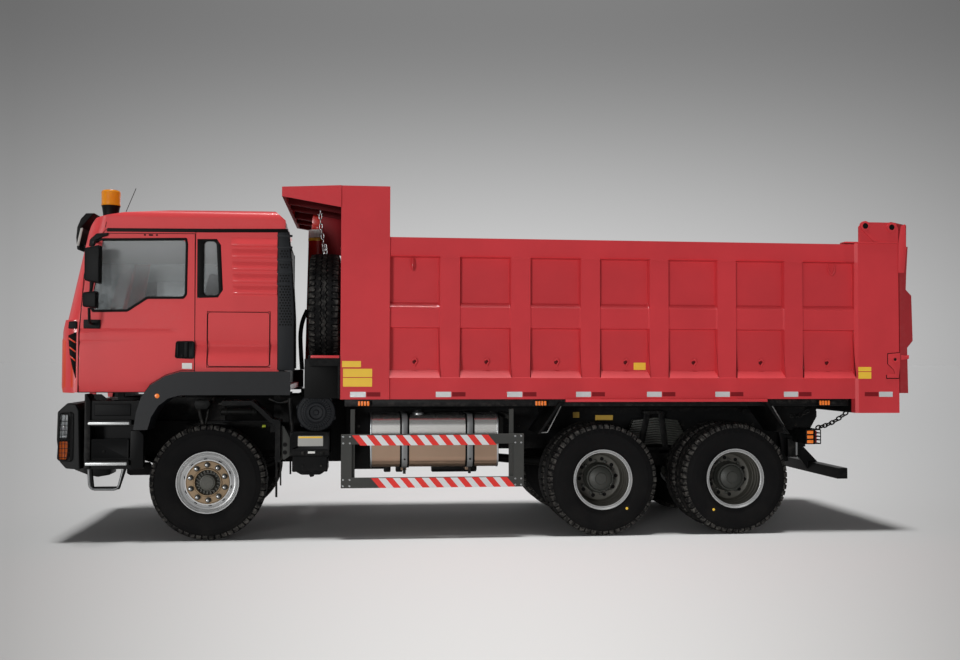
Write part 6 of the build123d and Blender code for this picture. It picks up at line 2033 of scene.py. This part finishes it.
        # Painted shadow: a slightly larger black plate behind the hook stands for the dark outline of its
        # shadow.
        shade = plate("lock_hook_painted_shadow", [(x + (x - 6.850) * 0.10, z + (z - 1.690) * 0.07) for x, z in outline],
                      Plane.SIDE,
                      -1.232, -1.2375, 0.006)
        pair(soften(shade, 0.002), "bed", SEAL, "bed_paint")
        hook = plate("lock_hook", outline, Plane.SIDE, -1.237, -1.2440, 0.008)
        lever = plate("lever", [(6.923, 1.741), (7.005, 1.752), (7.009, 1.793), (6.960, 1.786),
                                (6.923, 1.793)],
                      Plane.SIDE, -1.238, -1.2465, 0.008)
        ring = lathe("ring", [(-1.243, 0.034), (-1.2485, 0.031), (-1.2485, 0.020), (-1.245, 0.014),
                              (-1.243, 0.014)], 28)
        ring.data.transform(Matrix.Translation(at(6.858, 0, 1.747)))
        pieces = [soften(hook, 0.003, 2), soften(lever, 0.003, 2), smooth(ring)]
        pair(joined("lock_hooks", pieces), "bed", BED_RED, "bed_paint")
        middle = rod("lock_pivot", at(6.858, -1.243, 1.747), at(6.858, -1.2475, 1.747), 0.0145, 20)
        pair(middle, "bed", CHASSIS_BLACK, "chassis_paint")

    def column_cap(self) -> None:
        """Cap on the rear column, hinge pins and their bosses."""
        cap = plate("column_cap", [(6.330, 2.930), (6.886, 2.930), (6.886, 2.944), (6.330, 2.944)],
                    Plane.SIDE, -1.130,
                    -1.249)
        pair(soften(cap, 0.003), "bed", BED_RED, "bed_paint")
        bosses, pins = [], []
        for x, z in ((6.549, 3.107), (6.832, 3.098)):
            boss = lathe("boss", [(-1.220, 0.052), (-1.2475, 0.050), (-1.249, 0.044), (-1.249, 0.0)], 36)
            pin = lathe("pin", [(-1.2485, 0.030), (-1.250, 0.028), (-1.250, 0.0)], 24)
            for piece, pile in ((boss, bosses), (pin, pins)):
                piece.data.transform(Matrix.Translation(at(x, 0, z)))
                pile.append(smooth(piece))
        stay = plate("stay", [(6.500, 3.085), (6.548, 3.062), (6.660, 2.960), (6.700, 2.948), (6.640, 2.948)],
                     Plane.SIDE,
                     -1.236, -1.2475)
        pair(joined("hinge_bosses", bosses + [soften(stay, 0.002)]), "bed", BED_RED, "bed_paint")
        pair(joined("hinge_pin_heads", pins), "bed", CHASSIS_BLACK, "chassis_paint")

    def chains(self) -> None:
        """Short stay chains under the bed's rear, hung from the bed."""
        links = []
        for start, end, count in (((6.554, 1.194), (6.214, 1.028), 9), ((6.128, 1.219), (5.929, 1.160), 5)):
            for number in range(count):
                share = (number + 0.5) / count
                sag = -0.03 * math.sin(math.pi * share)
                x = start[0] + (end[0] - start[0]) * share
                z = start[1] + (end[1] - start[1]) * share + sag
                slope = math.atan2(end[1] - start[1], end[0] - start[0])
                links.append(self.link(at(x, -0.800, z), slope, number % 2 == 1))
        pair(joined("stay_chains", links), "bed", CHASSIS_BLACK, "chassis_paint")

    def link(self, centre: Vector, slope: float, turned: bool) -> Object:
        """Chain link along X, sloped and turned on edge or flat."""
        loop = pipe("link", [(0.016, 0, 0.017), (-0.016, 0, 0.017), (-0.030, 0, 0), (-0.016, 0, -0.017),
                             (0.016, 0, -0.017), (0.030, 0, 0), (0.016, 0, 0.017)], 0.0075, 0.008, 2)
        twist = Matrix.Rotation(math.radians(70 if turned else 15), 4, "X")
        loop.data.transform(Matrix.Translation(centre) @ Matrix.Rotation(-slope, 4, "Y") @ twist)
        return loop

    def hoist(self) -> None:
        """Hoist tube with its collar, yellow band, blank label and fork ears, over bright stages."""
        self.carrier.panel("hoist_tube", HOIST_RED, "hoist_paint", 0.004, 40.0)
        for number in (1, 2, 3):
            self.carrier.panel(f"hoist_stage_{number}", BRIGHT_STEEL, "hoist_chrome", 0.002, 40.0)
        for name, low, high, radius, finish in (("yellow_band", 2.998, 3.032, 0.1102, LABEL_YELLOW),
                                                ("white_label", 3.032, 3.118, 0.1095, LABEL_WHITE),
                                                ("sleeve", 3.112, 3.182, 0.078, HOIST_RED)):
            body = "hoist_stage_3_body" if name == "sleeve" else "hoist_tube_body"
            bore = 0.0565 if name == "sleeve" else 0.1075
            band = lathe(f"hoist_{name}", [(low, bore), (low, radius), (high, radius), (high, bore)], 48)
            lean = math.atan2(0.040, 2.080)
            foot = Matrix.Translation(at(0.950, 0, 1.150)) @ Matrix.Rotation(lean, 4, "Y")
            upright = Matrix.Translation((0, 0, -1.150)) @ Matrix.Rotation(math.pi / 2, 4, "X")
            band.data.transform(foot @ upright)
            dressed(soften(band, 0.002), body, finish, "hoist_paint")
        lug = plate("hoist_lug", [(0.915, 3.200), (0.930, 3.270), (0.985, 3.290), (1.055, 3.282),
                                  (1.079, 3.240),
                                  (1.068, 3.175), (1.000, 3.150), (0.930, 3.160)], Plane.SIDE, -0.096, -0.106,
                                  0.02)
        dressed(soften(lug, 0.004), "bed", HOIST_RED, "bed_paint")

    def spare_fixings(self) -> None:
        """Chain that holds the spare wheel, from the canopy's hook down to the tyre's hub."""
        path = [(1.029, 3.257), (1.031, 3.100), (1.065, 2.899), (1.066, 2.765)]
        links = []
        for (x0, z0), (x1, z1) in zip(path, path[1:]):
            count = max(2, round(math.hypot(x1 - x0, z1 - z0) / 0.056))
            for number in range(count):
                share = (number + 0.5) / count
                place = at(x0 + (x1 - x0) * share, -0.700, z0 + (z1 - z0) * share)
                links.append(self.chain_link(place, len(links) % 2 == 1))
        for x, z, half in ((1.052, 2.880, False), (1.082, 2.862, True), (1.058, 2.836, False),
                           (1.086, 2.820, True)):
            links.append(self.chain_link(at(x, -0.716, z), half))
        hook = pipe("hook", [at(1.020, -0.700, 3.330), at(1.020, -0.700, 3.275), at(1.045, -0.700, 3.252),
                             at(1.026, -0.700, 3.236)], 0.010, 0.012)
        dressed(joined("spare_chain", links + [hook]), "bed", STEEL, "hoist_chrome")

    def chain_link(self, centre: Vector, turned: bool) -> Object:
        """Upright chain link."""
        loop = pipe("link", [(0, 0.014, 0.018), (0, 0, 0.036), (0, -0.014, 0.018), (0, -0.014, -0.018),
                             (0, 0, -0.036), (0, 0.014, -0.018), (0, 0.014, 0.018)], 0.0062, 0.008, 2)
        loop.data.transform(Matrix.Translation(centre) @ Matrix.Rotation(math.radians(80 if turned else 10),
                                                                         4, "Z"))
        return loop


# ----------------------------------------------------------------------- studio
@dataclass
class Studio:
    """Pale floor and backdrop with painted fall-off of light, soft light and the camera."""

    camera_place: tuple[float, float, float] = (-1.3997, -11.5791, 1.7077)
    yaw: float = 6.444
    pitch: float = 1.7217
    roll: float = 0.1677
    lens: float = 40.0
    floor_half: float = 900.0
    middle: float = 7.5
    edge_sine: float = 0.42
    steepest: float = 0.33
    horizon_tone: str = "D8D8D8"
    wall_tone: str = "808080"
    floor_tone: str = "E6E6E4"
    # Painted shade: the tone that the floor and backdrop darken towards at both sides.
    side_shade_tone: str = "505050"
    side_shade_share: float = 0.5
    overhead: float = 2.62
    fill: float = 2.0
    ambient: float = 0.115

    def build(self) -> None:
        """Make the floor, the world, the lamps and the camera."""
        self.floor()
        self.world()
        self.lamps()
        self.camera()
        bpy.context.scene.view_settings.view_transform = "Standard"

    def floor(self) -> None:
        """Pale floor that takes the backdrop's tone at the horizon and meets it without a line; its colour
        carries painted fall-off of light, greyer far off and darker to both sides.
        """
        bpy.ops.object.select_all(action="DESELECT")
        bpy.ops.mesh.primitive_plane_add(size=2 * self.floor_half)
        floor = settle("studio_floor")
        material = bpy.data.materials.new("studio_floor")
        material.use_nodes = True
        nodes = NodeTree(material.node_tree)
        shader = material.node_tree.nodes["Principled BSDF"]
        place = nodes.add("TexCoord").outputs["Object"]
        origin = (self.camera_place[0], self.camera_place[1], 0.0)
        away = nodes.add("VectorMath", {"operation": "SUBTRACT"})
        nodes.join(away.inputs[0], place)
        nodes.join(away.inputs[1], origin)
        colour = self.painted_falloff_tone(nodes, away.outputs[0], self.camera_place[2], self.floor_tone)
        nodes.join(shader.inputs["Base Color"], colour)
        shader.inputs["Roughness"].default_value = 0.9
        shader.inputs["Specular IOR Level"].default_value = 0.1
        floor.data.materials.append(material)

    def painted_falloff_tone(self, nodes: NodeTree, away: bpy.types.NodeSocket, height: Optional[float],
                  steep_tone: str) -> bpy.types.NodeSocket:
        """Painted fall-off of light: a tone that leaves the horizon's with the slope of the line of sight and
        darkens to both sides as painted shade.

        Args:
            nodes: Tree to build in.
            away: Vector from the camera's place.
            height: Fall of that vector, or nothing to take its own Z.
            steep_tone: Tone where the line of sight is steepest.

        Returns:
            Colour socket.
        """
        parts = nodes.add("SeparateXYZ", None, Vector=away)
        reach = nodes.maths("SQRT", nodes.maths("ADD", nodes.maths("POWER", parts.outputs["X"], 2.0),
                                                nodes.maths("POWER", parts.outputs["Y"], 2.0)))
        reach = nodes.maths("MAXIMUM", reach, 0.001)
        rise = parts.outputs["Z"] if height is None else height
        slope = nodes.maths("DIVIDE", rise, reach)
        turn = math.radians(self.middle)
        across = nodes.maths("SUBTRACT", nodes.maths("MULTIPLY", parts.outputs["X"], math.cos(turn)),
                             nodes.maths("MULTIPLY", parts.outputs["Y"], math.sin(turn)))
        across = nodes.maths("DIVIDE", across, reach)
        side = nodes.maths("MULTIPLY", nodes.maths("POWER", across, 2.0), 1.0 / self.edge_sine ** 2, True)
        middle = nodes.mix(nodes.spread(slope, 0.0, self.steepest), linear(self.horizon_tone),
                           linear(steep_tone))
        return nodes.mix(nodes.maths("MULTIPLY", side, self.side_shade_share), middle, linear(self.side_shade_tone))

    def world(self) -> None:
        """Even light for the object, and a backdrop with a painted pool of light, brighter in its middle, for
        the camera and reflections.
        """
        world = bpy.data.worlds.new("studio_world")
        bpy.context.scene.world = world
        world.use_nodes = True
        world.node_tree.nodes.clear()
        nodes = NodeTree(world.node_tree)
        sight = nodes.add("TexCoord").outputs["Generated"]
        backdrop = self.painted_falloff_tone(nodes, sight, None, self.wall_tone)
        path = nodes.add("LightPath")
        seen = nodes.maths("MAXIMUM", path.outputs["Is Camera Ray"], path.outputs["Is Glossy Ray"])
        seen = nodes.maths("MAXIMUM", seen, path.outputs["Is Transmission Ray"])
        level = self.ambient
        colour = nodes.mix(seen, (level, level, level * 1.02, 1.0), backdrop)
        background = nodes.add("Background", None, Color=colour, Strength=1.0)
        nodes.add("OutputWorld", None, Surface=background.outputs[0])

    def lamps(self) -> None:
        """Overhead key, a level fill from the camera's side and weaker ones elsewhere."""
        for name, strength, size, azimuth, elevation in (
                ("overhead", self.overhead, 10.0, -90.0, 86.5), ("camera_side", self.fill, 12.0, -118.0, 1.0),
                ("front_side", 0.3, 50.0, 170.0, 4.0), ("far_side", 0.3, 60.0, 70.0, 5.0)):
            bpy.ops.object.select_all(action="DESELECT")
            bpy.ops.object.light_add(type="SUN")
            lamp = bpy.context.object
            lamp.name = name
            lamp.data.energy = strength
            lamp.data.angle = math.radians(size)
            turn, rise = math.radians(azimuth), math.radians(elevation)
            source = Vector((math.cos(turn) * math.cos(rise), math.sin(turn) * math.cos(rise),
                             math.sin(rise)))
            lamp.rotation_euler = source.to_track_quat("Z", "Y").to_euler()

    def camera(self) -> None:
        """Camera at the measured place, aimed by its yaw, pitch and roll."""
        bpy.ops.object.camera_add(location=self.camera_place)
        camera = bpy.context.object
        yaw, pitch = math.radians(self.yaw), math.radians(self.pitch)
        aim = Vector((math.sin(yaw) * math.cos(pitch), math.cos(yaw) * math.cos(pitch), math.sin(pitch)))
        turn = aim.to_track_quat("-Z", "Y").to_matrix() @ Matrix.Rotation(math.radians(self.roll), 3, "Z")
        camera.rotation_euler = turn.to_euler()
        camera.data.lens = self.lens
        camera.data.clip_end = 3000.0
        bpy.context.scene.camera = camera


def main() -> None:
    """Load the frame and build every sub-assembly on it."""
    logging.basicConfig(level=logging.INFO, format="%(message)s")
    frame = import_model()
    carrier = Carrier(frame)
    Studio().build()
    Wheels().build()
    for assembly in (CabShell(carrier), Doors(carrier), CabInterior(), FrontEnd(carrier),
                     RunningGear(carrier),
                     TankSide(carrier), Bed(carrier)):
        assembly.build()


if __name__ == "__main__":
    main()
